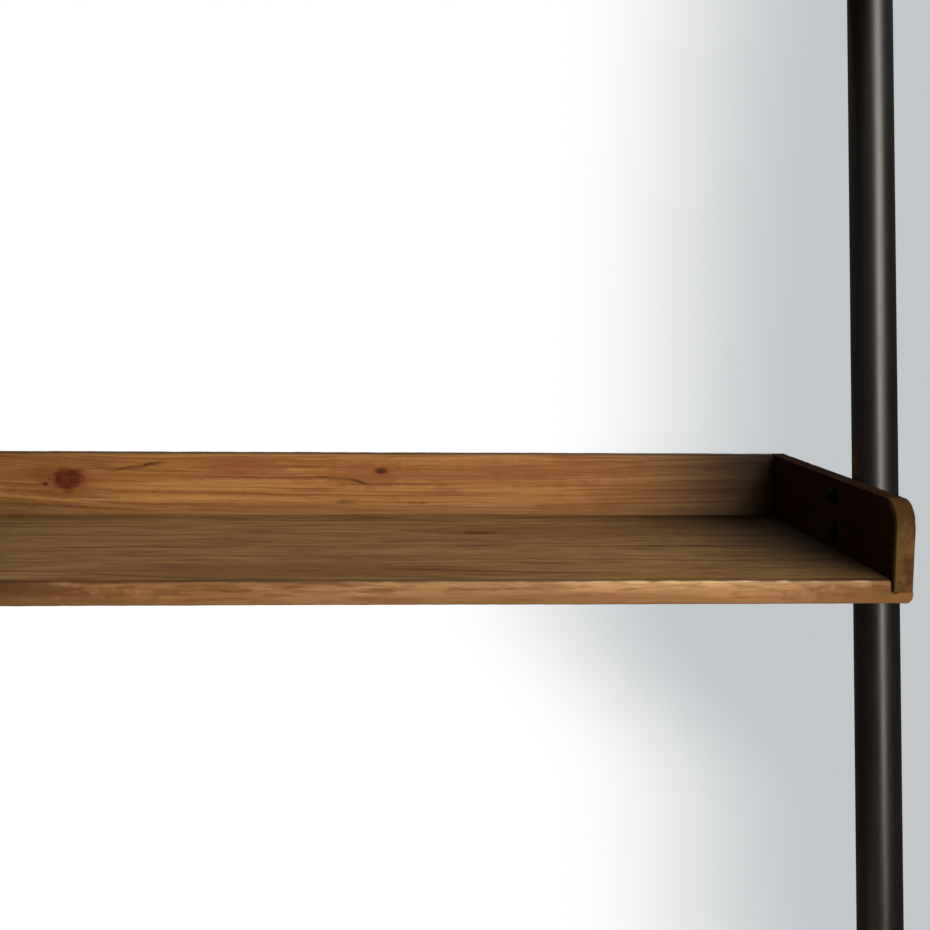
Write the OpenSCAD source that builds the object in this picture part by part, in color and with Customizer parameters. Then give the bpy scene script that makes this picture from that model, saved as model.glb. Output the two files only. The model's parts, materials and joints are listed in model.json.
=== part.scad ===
// Ladder shelf: four open wooden trays between two leaning steel tube posts.
// X runs to the right, Y back towards the wall and Z up. The origin lies on the floor,
// at the middle of the ladder's width and depth. Every length is in millimetres.

/* [Ladder] */
// Height of the lowest tray's underside above the floor
first_tray_z = 168; // [140:1:240]
// Rise from one tray to the next
tier_gap = 516; // [420:1:540]
// How much deeper each tray is than the one above it
depth_step = 80; // [50:1:90]
// Height of the post tops above the top tray's underside
post_top_over = 182; // [160:1:240]
// Least clearance between the ladder and the wall
wall_clear = 4; // [2:0.5:12]

/* [Trays] */
// Width of every tray
tray_w = 820; // [600:5:900]
// Depth of the top tray
top_tray_d = 180; // [175:1:240]
// Thickness of the deck
deck_t = 18; // [16:0.5:24]
// Thickness of the deck's tongue, which the cheeks and the rail stand on
tongue_t = 9; // [7:0.5:12]
// Height of the cheeks and the rail above the deck
rise = 59; // [54:1:80]
// Thickness of the cheeks
cheek_t = 15; // [13:0.5:20]
// Thickness of the back rail
rail_t = 15; // [13:0.5:20]
// Radius of each cheek's front top corner
cheek_corner_r = 22; // [10:1:30]
// Radius of the tongue's lower outer edges
tongue_edge_r = 6; // [2:0.5:7]
// Radius of the deck's worn top front edge
front_edge_r = 2.5; // [1:0.1:5]
// Radius of the other sanded edges
edge_r = 1.5; // [0.5:0.1:3]
// Gap between the deck's raised part and the boards round it
shadow_gap = 0.6; // [0.3:0.1:1.5]

/* [Posts] */
// Outer diameter of the post tube
tube_d = 38; // [34:0.5:45]
// Wall of the post tube
tube_wall = 1.5; // [1.2:0.1:2.5]
// Distance from each tray's front edge back to the post's axis
post_setback = 143; // [110:1:146]

/* [Tray bolts] */
// Diameter of the bolts
bolt_d = 6; // [5:0.5:6.5]
// Length of a tray bolt under its head
bolt_len = 30; // [28:1:35]
// Spacing of a cheek's two bolts, along the post
bolt_pitch = 30; // [24:1:32]
// Diameter of a bolt's domed head
bolt_head_d = 10.5; // [9.5:0.1:12]
// Height of a bolt's domed head
bolt_head_h = 3.3; // [2.6:0.1:4]
// Width of the key socket across its flats
bolt_key = 4; // [3:0.5:5]
// Radial clearance of a bolt in wood, in a washer and in a saddle
bolt_clear = 0.2; // [0.1:0.05:0.5]
// Diameter of the washers
washer_d = 18; // [14:0.5:20]
// Thickness of the washers
washer_t = 1.6; // [1:0.1:2]

/* [Rivet nuts] */
// Diameter of a rivet nut's body
rivnut_d = 9; // [8.5:0.1:10]
// Length of a rivet nut's body behind its flange
rivnut_len = 15; // [12:0.5:16]
// Diameter of a rivet nut's flange
rivnut_flange_d = 13; // [12:0.1:14]
// Thickness of a rivet nut's flange
rivnut_flange_t = 1; // [0.8:0.1:1.5]
// Diameter of the bulge that clamps a rivet nut inside the tube
rivnut_bulge_d = 11; // [10.5:0.1:12]
// Length of that bulge
rivnut_bulge_len = 4; // [3:0.5:5]
// Gap between that bulge and the tube's inner wall
rivnut_bulge_gap = 0.1; // [0.05:0.05:0.2]
// Radial clearance of a rivet nut in the tube's wall
rivnut_fit = 0.05; // [0.02:0.01:0.1]
// Radial clearance of a bolt in its rivet nut
thread_fit = 0.05; // [0.02:0.01:0.1]

/* [Saddles] */
// Gap that a saddle keeps between the tube and the cheek
saddle_web = 2; // [1.6:0.1:5]
// Length of a tray saddle, along the post
saddle_len = 56; // [52:1:58]
// Width of a saddle
saddle_w = 24; // [20:0.5:28]
// Radial clearance of a saddle on the tube
saddle_fit = 0.05; // [0.02:0.01:0.2]

/* [Joinery] */
// Shank diameter of the wood screws
screw_d = 3.8; // [3:0.1:4.5]
// Length of the wood screws
screw_len = 25; // [22:1:27]
// Head diameter of the wood screws
screw_head_d = 7.6; // [7:0.1:8.4]
// Height of a screw head's upright edge
screw_land = 0.2; // [0.1:0.1:0.5]
// Depth that a screw head sits below the wood
screw_sink = 0.3; // [0.1:0.1:1]
// Distance of a cheek's screws from its outer face
screw_inset = 9; // [7.5:0.5:9.5]
// Distance of the end screws from the front edge and the rail
screw_end = 30; // [20:1:34]
// Distance of the rail's end screws from its ends
rail_screw_end = 60; // [45:1:90]
// Number of screws in each cheek
cheek_screws = 3; // [2:1:4]
// Number of screws in each rail
rail_screws = 5; // [3:1:7]
// Diameter of the dowels
dowel_d = 8; // [6:0.5:8.5]
// Length of the dowels
dowel_len = 30; // [24:1:36]
// How far a dowel reaches into the cheek
dowel_in_cheek = 9; // [7:0.5:10]
// Spacing of the two dowels in a corner
dowel_pitch = 32; // [24:1:36]
// Spare depth of the dowel holes at each end
dowel_spare = 0.5; // [0.3:0.1:1]
// Radial clearance of screws and dowels in their holes
wood_fit = 0.05; // [0.02:0.01:0.1]

/* [Feet] */
// Diameter of the foot's ball
ball_d = 13; // [12:0.5:14]
// Height of the ball's centre above the floor
ball_z = 12.5; // [12:0.5:15]
// Radial clearance of the ball in its socket
ball_fit = 0.05; // [0.02:0.01:0.1]
// Height of the socket's lip above the ball's centre
lip_h = 4; // [3.5:0.1:4.5]
// Diameter of the pad
pad_d = 40; // [38:0.5:50]
// Height of the pad's top above the floor
pad_top_z = 18; // [17.5:0.1:19]
// Radius of the pad's flat top
pad_top_r = 11; // [9:0.5:13]
// Height of the pad's upright rim
pad_rim_h = 4.5; // [3:0.5:6]
// Width of the step between the pad's rim and its dome
pad_step = 0.5; // [0.3:0.1:1]
// Width of the slots that let the socket snap over the ball
slot_w = 1.6; // [1:0.1:2.5]
// Diameter of the rubber sole
sole_d = 34; // [30:0.5:36]
// Thickness of the rubber sole
sole_t = 3; // [2:0.1:4]
// How much of the sole is sunk into the pad
sole_sunk = 1.5; // [0.8:0.1:1.8]
// Radial clearance round the sole
sole_fit = 0.1; // [0.05:0.05:0.5]
// Diameter of the threaded stem
stem_d = 10; // [8:0.5:11]
// Length of the stem above its hexagon
stem_len = 45; // [42:1:60]
// Radial clearance of the stem in the nut and in the insert
stem_fit = 0.05; // [0.02:0.01:0.1]
// Diameter of the neck above the ball
neck_d = 7; // [6:0.5:7.5]
// Distance from the ball's centre to the stem's hexagon
neck_len = 9; // [8.5:0.5:14]
// Width of the stem's hexagon across its flats
stem_hex = 14; // [12:0.5:16]
// Height of the stem's hexagon
stem_hex_h = 7; // [5:0.5:9]
// Width of the lock nut across its flats
nut_hex = 17; // [15:0.5:19]
// Height of the lock nut
nut_h = 6; // [5:0.5:9]
// Gap between the stem's hexagon and the lock nut when the foot is screwed in
nut_gap = 0.4; // [0.3:0.1:3]
// Thickness of the insert's flange
insert_flange_t = 4; // [3:0.5:8]
// Length of the insert inside the tube
insert_len = 28; // [20:1:36]

/* [Top caps] */
// Height of a top cap's rim
cap_rim_h = 2.5; // [1.5:0.1:5]
// Height of a top cap's dome above its rim
cap_dome_h = 3; // [1:0.1:6]
// Length of a top cap's plug inside the tube
cap_plug_len = 16; // [12:1:24]
// Wall of a top cap's plug
cap_wall = 2; // [1.5:0.1:3]

/* [Tube plugs] */
// Number of gripping ribs round each plug
rib_count = 3; // [2:1:4]
// Width of a gripping rib
rib_w = 1.6; // [1:0.1:2.5]
// Height of a gripping rib above its plug
rib_h = 0.4; // [0.2:0.1:0.8]
// Radial clearance of a gripping rib in the tube
rib_fit = 0.02; // [0.01:0.01:0.05]

/* [Wall brackets] */
// Thickness of the bracket's steel
bracket_t = 2.5; // [2:0.1:4]
// Distance from a post's top down its axis to the bracket's pivot
bracket_drop = 55; // [45:1:70]
// Radius of the bracket's ear round its pivot
ear_r = 13; // [11:0.5:15]
// Width of the bracket's wall plate, with the bend
plate_w = 34; // [30:0.5:45]
// Height of the bracket's wall plate
plate_h = 62; // [56:1:70]
// Radius of the wall plate's corners
plate_corner_r = 6; // [2:0.5:10]
// Inner radius of the bracket's bend
bend_r = 2.5; // [1:0.1:4]
// Diameter of the wall screw holes
wall_hole_d = 5.5; // [4:0.1:6.5]
// Spacing of the wall screw holes
wall_hole_pitch = 40; // [34:1:44]
// Play on each side of the bracket's ear
bracket_play = 0.1; // [0.05:0.05:0.3]
// Radial clearance of the pivot bolt in the ear
pivot_fit = 0.05; // [0.02:0.01:0.1]
// Length of a bracket bolt under its head
bracket_bolt_len = 20; // [16:1:22]

/* [Hidden] */
$fn = 64;

// Which side of the ladder a part is on
LEFT = -1;
RIGHT = 1;
SIDES = [LEFT, RIGHT];

// The trays are numbered from the floor up, and the arrays count them from 0
tray_count = 4;
TRAYS = [0 : tray_count - 1];

// How far a cut runs past the face that it starts from
past = 1;

// Facets round the tube and the parts that follow it
tube_fn = 96;

// Bevel at the tip of a bolt, a stem or a dowel, per its diameter
tip_share = 0.1;

// Bevel along the edge of a flange or a sole, per its thickness
edge_share = 0.3;

// Heights inside a tray, from the deck's underside
tray_h = deck_t + rise;
board_h = tray_h - tongue_t;
bolt_mid_z = deck_t + rise / 2;

// The posts lean so that every tray's back lies in one plane
lean = atan(depth_step / tier_gap);
tube_r = tube_d / 2;
bore_r = tube_r - tube_wall;
post_x = tray_w / 2 + saddle_web + tube_r;
post_top_z = first_tray_z + (tray_count - 1) * tier_gap + post_top_over;
cap_h = cap_rim_h + cap_dome_h;

// Distances along a post's axis, from the centre of its foot's ball
stem_hex_s = neck_len;
nut_s = stem_hex_s + stem_hex_h + nut_gap;
insert_s = nut_s + nut_h;
tube_s = insert_s + insert_flange_t;
top_s = (post_top_z - ball_z) / cos(lean);
bracket_s = top_s - bracket_drop;

// Depths from the front of the lowest tray, and from them the places along Y
ball_depth = post_setback - (first_tray_z + bolt_mid_z - ball_z) * tan(lean);
post_top_depth = ball_depth + (top_s + cap_rim_h) * sin(lean) + tube_r * cos(lean);
wall_depth = max(tray_depth(0), post_top_depth) + wall_clear;
wall_y = wall_depth / 2;
back_y = tray_depth(0) - wall_y;
ball_y = ball_depth - wall_y;

// The wall bracket's pivot, and the plane that its saddle and the cheeks share
pivot_y = ball_y + bracket_s * sin(lean);
pivot_z = ball_z + bracket_s * cos(lean);
side_x = tray_w / 2;
bend_out_r = bend_r + bracket_t;

WOOD = "#9a6a3c";
DECK_WOOD = "#80603f";
TUBE = "#2a2422";
STEEL = "#8d8f92";
BLACK = "#1e1d1c";
RUBBER = "#131313";
BEECH = "#c9a777";

// Depth of a tray, the lowest being 0
function tray_depth(i) = top_tray_d + (tray_count - 1 - i) * depth_step;

// Height of a tray's underside above the floor
function tray_z(i) = first_tray_z + i * tier_gap;

// Place of a tray's front edge along Y
function front_y(i) = back_y - tray_depth(i);

// Place of the middle of a tray's two bolts along the post
function bolt_s(i) = (tray_z(i) + bolt_mid_z - ball_z) / cos(lean);

// Evenly spread places from one end to the other
function spread(first, last, count) =
    [for (k = [0 : count - 1]) first + (last - first) * k / (count - 1)];

// ---- Frames that parts are drawn in ----

// Draws a right-hand part on the side named
module on_side(side) {
    if (side == RIGHT) children();
    else mirror([1, 0, 0]) children();
}

// Puts Z along the right post's axis, with the origin at the foot's ball
module along_post(s = 0) {
    translate([post_x, ball_y, ball_z]) rotate([-lean, 0, 0]) translate([0, 0, s]) children();
}

// Puts a tray's front lower edge, midway across, at the origin
module in_tray(i) {
    translate([0, front_y(i), tray_z(i)]) children();
}

// Puts Z along a fixing that comes out of the right post towards the tray, from the post's axis
module out_of_post(s) {
    along_post(s) rotate([0, -90, 0]) children();
}

// A tray's two bolt places on the right post
module at_tray_bolts(i) {
    for (k = [-0.5, 0.5]) out_of_post(bolt_s(i) + k * bolt_pitch) children();
}

// The dowels' places in one right-hand corner of a tray, with Z running into the cheek
module at_dowels(i) {
    mid_z = tongue_t + board_h / 2;
    for (k = [-0.5, 0.5])
        in_tray(i)
            translate([side_x - cheek_t, tray_depth(i) - rail_t / 2, mid_z + k * dowel_pitch])
                rotate([0, 90, 0]) children();
}

// The screws' places under a tray's right cheek, with Z running up into the wood
module at_cheek_screws(i) {
    last = tray_depth(i) - rail_t - screw_end;
    for (y = spread(screw_end, last, cheek_screws))
        in_tray(i) translate([side_x - screw_inset, y, 0]) children();
}

// The screws' places under a tray's back rail
module at_rail_screws(i) {
    end_x = side_x - cheek_t - rail_screw_end;
    for (x = spread(-end_x, end_x, rail_screws))
        in_tray(i) translate([x, tray_depth(i) - rail_t / 2, 0]) children();
}

// ---- Outlines ----

// What rounding takes off a square corner at the origin, where the board fills +X and +Y
module corner_waste(r) {
    difference() {
        translate([-past, -past]) square(r + past);
        translate([r, r]) circle(r);
    }
}

// A board's section from the origin, with its two far corners rounded
module rounded_end(width, length, r) {
    difference() {
        square([width, length]);
        translate([0, length]) mirror([0, 1]) corner_waste(r);
        translate([width, length]) mirror([1, 0]) mirror([0, 1]) corner_waste(r);
    }
}

// A slot's outline, centred and running along X
module stadium(length, width) {
    straight = length - width;
    if (straight > 0) square([straight, width], center = true);
    for (x = [-0.5, 0.5]) translate([x * straight, 0]) circle(d = width);
}

// The right half of a disc, for turning
module half_disc(r) {
    intersection() {
        circle(r);
        translate([0, -r]) square([r, 2 * r]);
    }
}

// ---- Shapes that fasteners share ----

// A hexagonal prism with the turned chamfers of a nut
module turned_hexagon(across, height) {
    corner_r = across / sqrt(3);
    // The chamfers cut the corners back towards the flats
    bevel = (corner_r - across / 2) * 0.8;
    bevel_h = bevel * 0.6;
    intersection() {
        cylinder(r = corner_r, h = height, $fn = 6);
        rotate_extrude() polygon([
            [0, 0], [corner_r - bevel, 0], [corner_r, bevel_h],
            [corner_r, height - bevel_h], [corner_r - bevel, height], [0, height]
        ]);
    }
}

// A domed bolt with a key socket. Its head's underside is at the origin and its shank runs down
module domed_bolt(length) {
    head_r = bolt_head_d / 2;
    socket_r = bolt_key / sqrt(3);
    socket_z = bolt_head_h * 0.4;
    flat_r = socket_r * 1.2;
    // The dome is an arc through the head's rim and the edge of its flat top
    dome_z = (flat_r * flat_r + bolt_head_h * bolt_head_h - head_r * head_r) / (2 * bolt_head_h);
    dome_r = sqrt(head_r * head_r + dome_z * dome_z);
    tip = bolt_d * tip_share;
    difference() {
        rotate_extrude() {
            intersection() {
                translate([0, dome_z]) half_disc(dome_r);
                square([head_r, bolt_head_h]);
            }
            polygon([
                [0, 0], [bolt_d / 2, 0], [bolt_d / 2, tip - length],
                [bolt_d / 2 - tip, -length], [0, -length]
            ]);
        }
        translate([0, 0, socket_z]) cylinder(r = socket_r, h = bolt_head_h, $fn = 6);
    }
}

// A countersunk wood screw, point up, with its head flush at the origin
module wood_screw() {
    head_r = screw_head_d / 2;
    shank_r = screw_d / 2;
    cone_h = head_r - shank_r;
    cross_len = head_r * 1.2;
    cross_w = screw_d / 4;
    difference() {
        rotate_extrude() polygon([
            [0, 0], [head_r, 0], [head_r, screw_land], [shank_r, screw_land + cone_h],
            [shank_r, screw_len - screw_d], [0, screw_len]
        ]);
        for (turn = [0, 90])
            rotate([0, 0, turn]) cube([cross_len, cross_w, cone_h], center = true);
    }
}

// The hole that a wood screw fills, from below the board up to past its point
module screw_hole() {
    head_r = screw_head_d / 2 + wood_fit;
    shank_r = screw_d / 2 + wood_fit;
    cone_z = screw_sink + screw_land;
    rotate_extrude() polygon([
        [0, -past], [head_r, -past], [head_r, cone_z], [shank_r, cone_z + head_r - shank_r],
        [shank_r, screw_len + past], [0, screw_len + past]
    ]);
}

// A dowel with bevelled ends, from its end in the cheek back along -Z
module dowel() {
    r = dowel_d / 2;
    bevel = dowel_d * tip_share;
    rotate_extrude() polygon([
        [0, 0], [r - bevel, 0], [r, -bevel], [r, bevel - dowel_len],
        [r - bevel, -dowel_len], [0, -dowel_len]
    ]);
}

// The hole that a dowel fills, a little longer at both ends
module dowel_hole() {
    translate([0, 0, dowel_in_cheek - dowel_len - dowel_spare])
        cylinder(r = dowel_d / 2 + wood_fit, h = dowel_len + 2 * dowel_spare);
}

// A plug's section inside a tube, standing on the origin, with gripping ribs
module ribbed_plug(inner_r, length) {
    rib_r = bore_r - rib_fit;
    plug_r = rib_r - rib_h;
    first_rib = length * 0.2;
    translate([inner_r, 0]) square([plug_r - inner_r, length]);
    for (z = spread(first_rib, length - first_rib, rib_count))
        translate([inner_r, z - rib_w / 2]) square([rib_r - inner_r, rib_w]);
}

// ---- Posts ----

// A steel tube post, with a hole in its inner side for every rivet nut
module post(side) {
    color(TUBE) on_side(side) difference() {
        along_post(tube_s) cylinder(r = tube_r, h = top_s - tube_s, $fn = tube_fn);
        along_post(tube_s - past) cylinder(r = bore_r, h = top_s - tube_s + 2 * past, $fn = tube_fn);
        for (i = TRAYS) at_tray_bolts(i) rivet_nut_hole();
        out_of_post(bracket_s) rivet_nut_hole();
    }
}

// The hole in a post's wall that a rivet nut is set in
module rivet_nut_hole() {
    cylinder(r = rivnut_d / 2 + rivnut_fit, h = tube_r + past);
}

// A domed plastic cap that closes the top of a post
module top_cap(side) {
    // The dome is the top of a ball that meets the rim's edge
    dome_r = (tube_r * tube_r + cap_dome_h * cap_dome_h) / (2 * cap_dome_h);
    color(BLACK) on_side(side) along_post(top_s) rotate_extrude($fn = tube_fn) {
        square([tube_r, cap_rim_h]);
        intersection() {
            translate([0, cap_rim_h + cap_dome_h - dome_r]) half_disc(dome_r);
            translate([0, cap_rim_h]) square([tube_r, cap_dome_h]);
        }
        translate([0, -cap_plug_len])
            ribbed_plug(bore_r - rib_fit - rib_h - cap_wall, cap_plug_len);
    }
}

// ---- Trays ----

// The deck, rebated at both ends and along its back so that the boards stand on its tongue
module deck(i) {
    depth = tray_depth(i);
    raised_x = side_x - cheek_t - shadow_gap;
    raised_d = depth - rail_t - shadow_gap;
    color(DECK_WOOD) difference() {
        in_tray(i) difference() {
            // The section across the front edge, run along the width
            translate([-side_x, 0, 0]) rotate([90, 0, 90]) linear_extrude(tray_w) difference() {
                square([depth, deck_t]);
                translate([raised_d, tongue_t]) square([depth, deck_t]);
                corner_waste(edge_r);
                translate([0, deck_t]) mirror([0, 1]) corner_waste(front_edge_r);
                translate([depth, 0]) mirror([1, 0]) corner_waste(edge_r);
            }
            for (side = SIDES) on_side(side) {
                // The rebate that the cheek stands in
                translate([raised_x, -past, tongue_t]) cube([side_x, depth + 2 * past, deck_t]);
                // The rounding of the tongue's lower outer edge
                translate([side_x, depth + past, 0]) rotate([90, 0, 0])
                    linear_extrude(depth + 2 * past) mirror([1, 0]) corner_waste(tongue_edge_r);
                // The worn end of the raised front edge
                translate([raised_x, 0, tongue_t]) linear_extrude(deck_t)
                    mirror([1, 0]) corner_waste(front_edge_r);
                translate([raised_x, depth + past, deck_t]) rotate([90, 0, 0])
                    linear_extrude(depth + 2 * past)
                        mirror([1, 0]) mirror([0, 1]) corner_waste(edge_r / 2);
            }
        }
        for (side = SIDES) on_side(side) at_cheek_screws(i) screw_hole();
        at_rail_screws(i) screw_hole();
    }
}

// A cheek, with its rim rounded all round its free edges
module cheek(i, side) {
    depth = tray_depth(i);
    low_z = tongue_t;
    corner_z = tray_h - cheek_corner_r;
    color(WOOD) on_side(side) difference() {
        in_tray(i) translate([side_x - cheek_t, 0, 0]) {
            // The length behind the front corner
            translate([0, depth, low_z]) rotate([90, 0, 0])
                linear_extrude(depth - cheek_corner_r) rounded_end(cheek_t, board_h, edge_r);
            // The upright below the front corner
            translate([0, cheek_corner_r, low_z]) linear_extrude(corner_z - low_z)
                mirror([0, 1]) rounded_end(cheek_t, cheek_corner_r, edge_r);
            // The front corner, turned about its centre
            translate([0, cheek_corner_r, corner_z]) rotate([0, 90, 0])
                rotate_extrude(angle = 90, start = 180)
                    rotate([0, 0, -90]) mirror([1, 0]) rounded_end(cheek_t, cheek_corner_r, edge_r);
        }
        at_tray_bolts(i) translate([0, 0, tube_r])
            cylinder(r = bolt_d / 2 + bolt_clear, h = saddle_web + cheek_t + past);
        at_cheek_screws(i) screw_hole();
        at_dowels(i) dowel_hole();
    }
}

// The rail along a tray's back, between its cheeks
module back_rail(i) {
    length = tray_w - 2 * cheek_t;
    color(WOOD) difference() {
        in_tray(i) translate([-length / 2, tray_depth(i) - rail_t, tongue_t])
            rotate([90, 0, 90]) linear_extrude(length) rounded_end(rail_t, board_h, edge_r);
        at_rail_screws(i) screw_hole();
        for (side = SIDES) on_side(side) at_dowels(i) dowel_hole();
    }
}

// ---- Joinery and fixings ----

// The beech dowels that join each rail to its cheeks
module dowels() {
    color(BEECH) for (i = TRAYS, side = SIDES)
        on_side(side) at_dowels(i) translate([0, 0, dowel_in_cheek]) dowel();
}

// The countersunk screws that hold each deck up to its cheeks and rail
module wood_screws() {
    color(STEEL) for (i = TRAYS) {
        for (side = SIDES) on_side(side) at_cheek_screws(i)
            translate([0, 0, screw_sink]) wood_screw();
        at_rail_screws(i) translate([0, 0, screw_sink]) wood_screw();
    }
}

// The bolts that hold the cheeks to the posts, from inside the trays
module tray_bolts() {
    head_at = tube_r + saddle_web + cheek_t + washer_t;
    color(BLACK) for (i = TRAYS, side = SIDES)
        on_side(side) at_tray_bolts(i) translate([0, 0, head_at]) domed_bolt(bolt_len);
}

// A flat washer that stands on the origin
module washer() {
    difference() {
        cylinder(d = washer_d, h = washer_t);
        translate([0, 0, -past]) cylinder(r = bolt_d / 2 + bolt_clear, h = washer_t + 2 * past);
    }
}

// The washers under the tray bolts' heads
module bolt_washers() {
    color(BLACK) for (i = TRAYS, side = SIDES)
        on_side(side) at_tray_bolts(i) translate([0, 0, tube_r + saddle_web + cheek_t]) washer();
}

// A rivet nut as set in the tube, with Z out of the post and the post's axis at the origin
module rivet_nut() {
    bulge_r = rivnut_bulge_d / 2;
    // The bulge sits as high as the tube's curved wall lets it
    bulge_top = sqrt(bore_r * bore_r - bulge_r * bulge_r) - rivnut_bulge_gap;
    difference() {
        union() {
            translate([0, 0, tube_r - rivnut_len]) cylinder(d = rivnut_d, h = rivnut_len);
            translate([0, 0, tube_r]) cylinder(d = rivnut_flange_d, h = rivnut_flange_t);
            translate([0, 0, bulge_top - rivnut_bulge_len])
                cylinder(r = bulge_r, h = rivnut_bulge_len);
        }
        cylinder(r = bolt_d / 2 + thread_fit, h = tube_d);
    }
}

// The rivet nuts in both posts, for the tray bolts and the bracket bolts
module rivet_nuts() {
    color(STEEL) for (side = SIDES) on_side(side) {
        for (i = TRAYS) at_tray_bolts(i) rivet_nut();
        out_of_post(bracket_s) rivet_nut();
    }
}

// A saddle that seats a flat board on the round tube. Its length runs along the post
module saddle(length) {
    out_z = tube_r + saddle_web;
    seat_z = sqrt(tube_r * tube_r - saddle_w * saddle_w / 4);
    difference() {
        translate([0, 0, seat_z]) linear_extrude(out_z - seat_z) stadium(length, saddle_w);
        rotate([0, 90, 0])
            cylinder(r = tube_r + saddle_fit, h = length + past, center = true, $fn = tube_fn);
        children();
    }
}

// The hole in a saddle that clears a rivet nut's flange
module flange_hole() {
    cylinder(r = rivnut_flange_d / 2 + bolt_clear, h = tube_d);
}

// The saddles between one post and its four trays
module tray_saddles(side) {
    color(BLACK) on_side(side) for (i = TRAYS)
        out_of_post(bolt_s(i)) saddle(saddle_len)
            for (k = [-0.5, 0.5]) translate([k * bolt_pitch, 0, 0]) flange_hole();
}

// ---- Feet ----

// The ribbed insert that closes a post's foot and guides the stem
module foot_insert(side) {
    hole_r = stem_d / 2 + stem_fit;
    bevel = insert_flange_t * edge_share;
    color(BLACK) on_side(side) along_post(insert_s) rotate_extrude($fn = tube_fn) {
        polygon([
            [hole_r, 0], [tube_r - bevel, 0], [tube_r, bevel],
            [tube_r, insert_flange_t], [hole_r, insert_flange_t]
        ]);
        translate([0, insert_flange_t]) ribbed_plug(hole_r, insert_len);
    }
}

// The nut that locks a foot's stem against the insert
module lock_nut(side) {
    color(STEEL) on_side(side) along_post(nut_s) difference() {
        turned_hexagon(nut_hex, nut_h);
        translate([0, 0, -past]) cylinder(r = stem_d / 2 + stem_fit, h = nut_h + 2 * past);
    }
}

// The stem, with the ball that the pad swivels on and a hexagon for a spanner
module foot_stem(side) {
    stem_r = stem_d / 2;
    foot_s = stem_hex_s + stem_hex_h;
    tip = stem_d * tip_share;
    color(STEEL) on_side(side) along_post() {
        rotate_extrude() {
            half_disc(ball_d / 2);
            square([neck_d / 2, neck_len]);
            translate([0, foot_s]) polygon([
                [0, 0], [stem_r, 0], [stem_r, stem_len - tip], [stem_r - tip, stem_len], [0, stem_len]
            ]);
        }
        translate([0, 0, stem_hex_s]) turned_hexagon(stem_hex, stem_hex_h);
    }
}

// A swivelling pad, flat on the floor, with a slotted socket that snaps over the ball
module foot_pad(side) {
    low_z = sole_t - sole_sunk;
    rim_z = low_z + pad_rim_h;
    rim_r = pad_d / 2;
    step_r = rim_r - pad_step;
    socket_r = ball_d / 2 + ball_fit;
    lip_r = sqrt(socket_r * socket_r - lip_h * lip_h);
    lip_z = ball_z + lip_h;
    // The dome is an arc from the rim up to the edge of the flat top
    dome_z = (pad_top_r * pad_top_r + pad_top_z * pad_top_z - step_r * step_r - rim_z * rim_z)
        / (2 * (pad_top_z - rim_z));
    dome_r = sqrt(step_r * step_r + (rim_z - dome_z) * (rim_z - dome_z));
    // The slots stop short of the flat top's edge
    slot_r = socket_r + (pad_top_r - lip_r) * 0.8;
    color(BLACK) on_side(side) translate([post_x, ball_y, 0]) difference() {
        rotate_extrude() difference() {
            union() {
                translate([0, low_z]) square([rim_r, pad_rim_h]);
                intersection() {
                    translate([0, dome_z]) half_disc(dome_r);
                    translate([0, rim_z]) square([rim_r, pad_top_z - rim_z]);
                }
            }
            // The recess for the sole, the socket and its flared mouth
            square([sole_d / 2 + sole_fit, sole_t]);
            translate([0, ball_z]) half_disc(socket_r);
            polygon([
                [0, ball_z], [lip_r, ball_z], [lip_r, lip_z],
                [lip_r + pad_top_z + past - lip_z, pad_top_z + past], [0, pad_top_z + past]
            ]);
        }
        for (turn = [45, 135]) rotate([0, 0, turn])
            translate([-slot_r, -slot_w / 2, ball_z]) cube([2 * slot_r, slot_w, pad_top_z]);
    }
}

// The rubber sole that is stuck into a pad
module foot_sole(side) {
    bevel = (sole_t - sole_sunk) * edge_share;
    color(RUBBER) on_side(side) translate([post_x, ball_y, 0]) rotate_extrude() polygon([
        [0, 0], [sole_d / 2 - bevel, 0], [sole_d / 2, bevel], [sole_d / 2, sole_t], [0, sole_t]
    ]);
}

// ---- Wall brackets ----

// A bent steel bracket. Its ear turns on the pivot bolt and its plate lies on the wall
module wall_bracket(side) {
    ear_x = side_x - bracket_play - bracket_t;
    bend_x = ear_x + bracket_t - bend_out_r;
    plate_x = side_x - bracket_play - plate_w;
    color(TUBE) on_side(side) difference() {
        union() {
            // The folded strip from the pivot round to the plate
            translate([0, 0, pivot_z - ear_r]) linear_extrude(2 * ear_r) folded_strip(ear_x, plate_x);
            // The ear's round end
            translate([ear_x, pivot_y, pivot_z]) rotate([0, 90, 0]) cylinder(r = ear_r, h = bracket_t);
            // The plate, with rounded corners
            translate([plate_x, wall_y, pivot_z]) rotate([90, 0, 0])
                linear_extrude(bracket_t) plate_outline(bend_x - plate_x);
        }
        translate([ear_x - past, pivot_y, pivot_z]) rotate([0, 90, 0])
            cylinder(r = bolt_d / 2 + pivot_fit, h = bracket_t + 2 * past);
        for (k = [-0.5, 0.5])
            translate([(plate_x + bend_x) / 2, wall_y + past, pivot_z + k * wall_hole_pitch])
                rotate([90, 0, 0]) cylinder(d = wall_hole_d, h = bracket_t + 2 * past);
    }
}

// The bracket's folded strip seen from above: a corner with its outer and inner sides rounded
module folded_strip(ear_x, plate_x) {
    out_x = ear_x + bracket_t;
    in_y = wall_y - bracket_t;
    difference() {
        translate([plate_x, pivot_y]) square([out_x - plate_x, wall_y - pivot_y]);
        translate([out_x, wall_y]) rotate(180) corner_waste(bend_out_r);
        difference() {
            translate([plate_x - past, pivot_y - past])
                square([ear_x - plate_x + past, in_y - pivot_y + past]);
            translate([ear_x, in_y]) rotate(180) corner_waste(bend_r);
        }
    }
}

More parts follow.
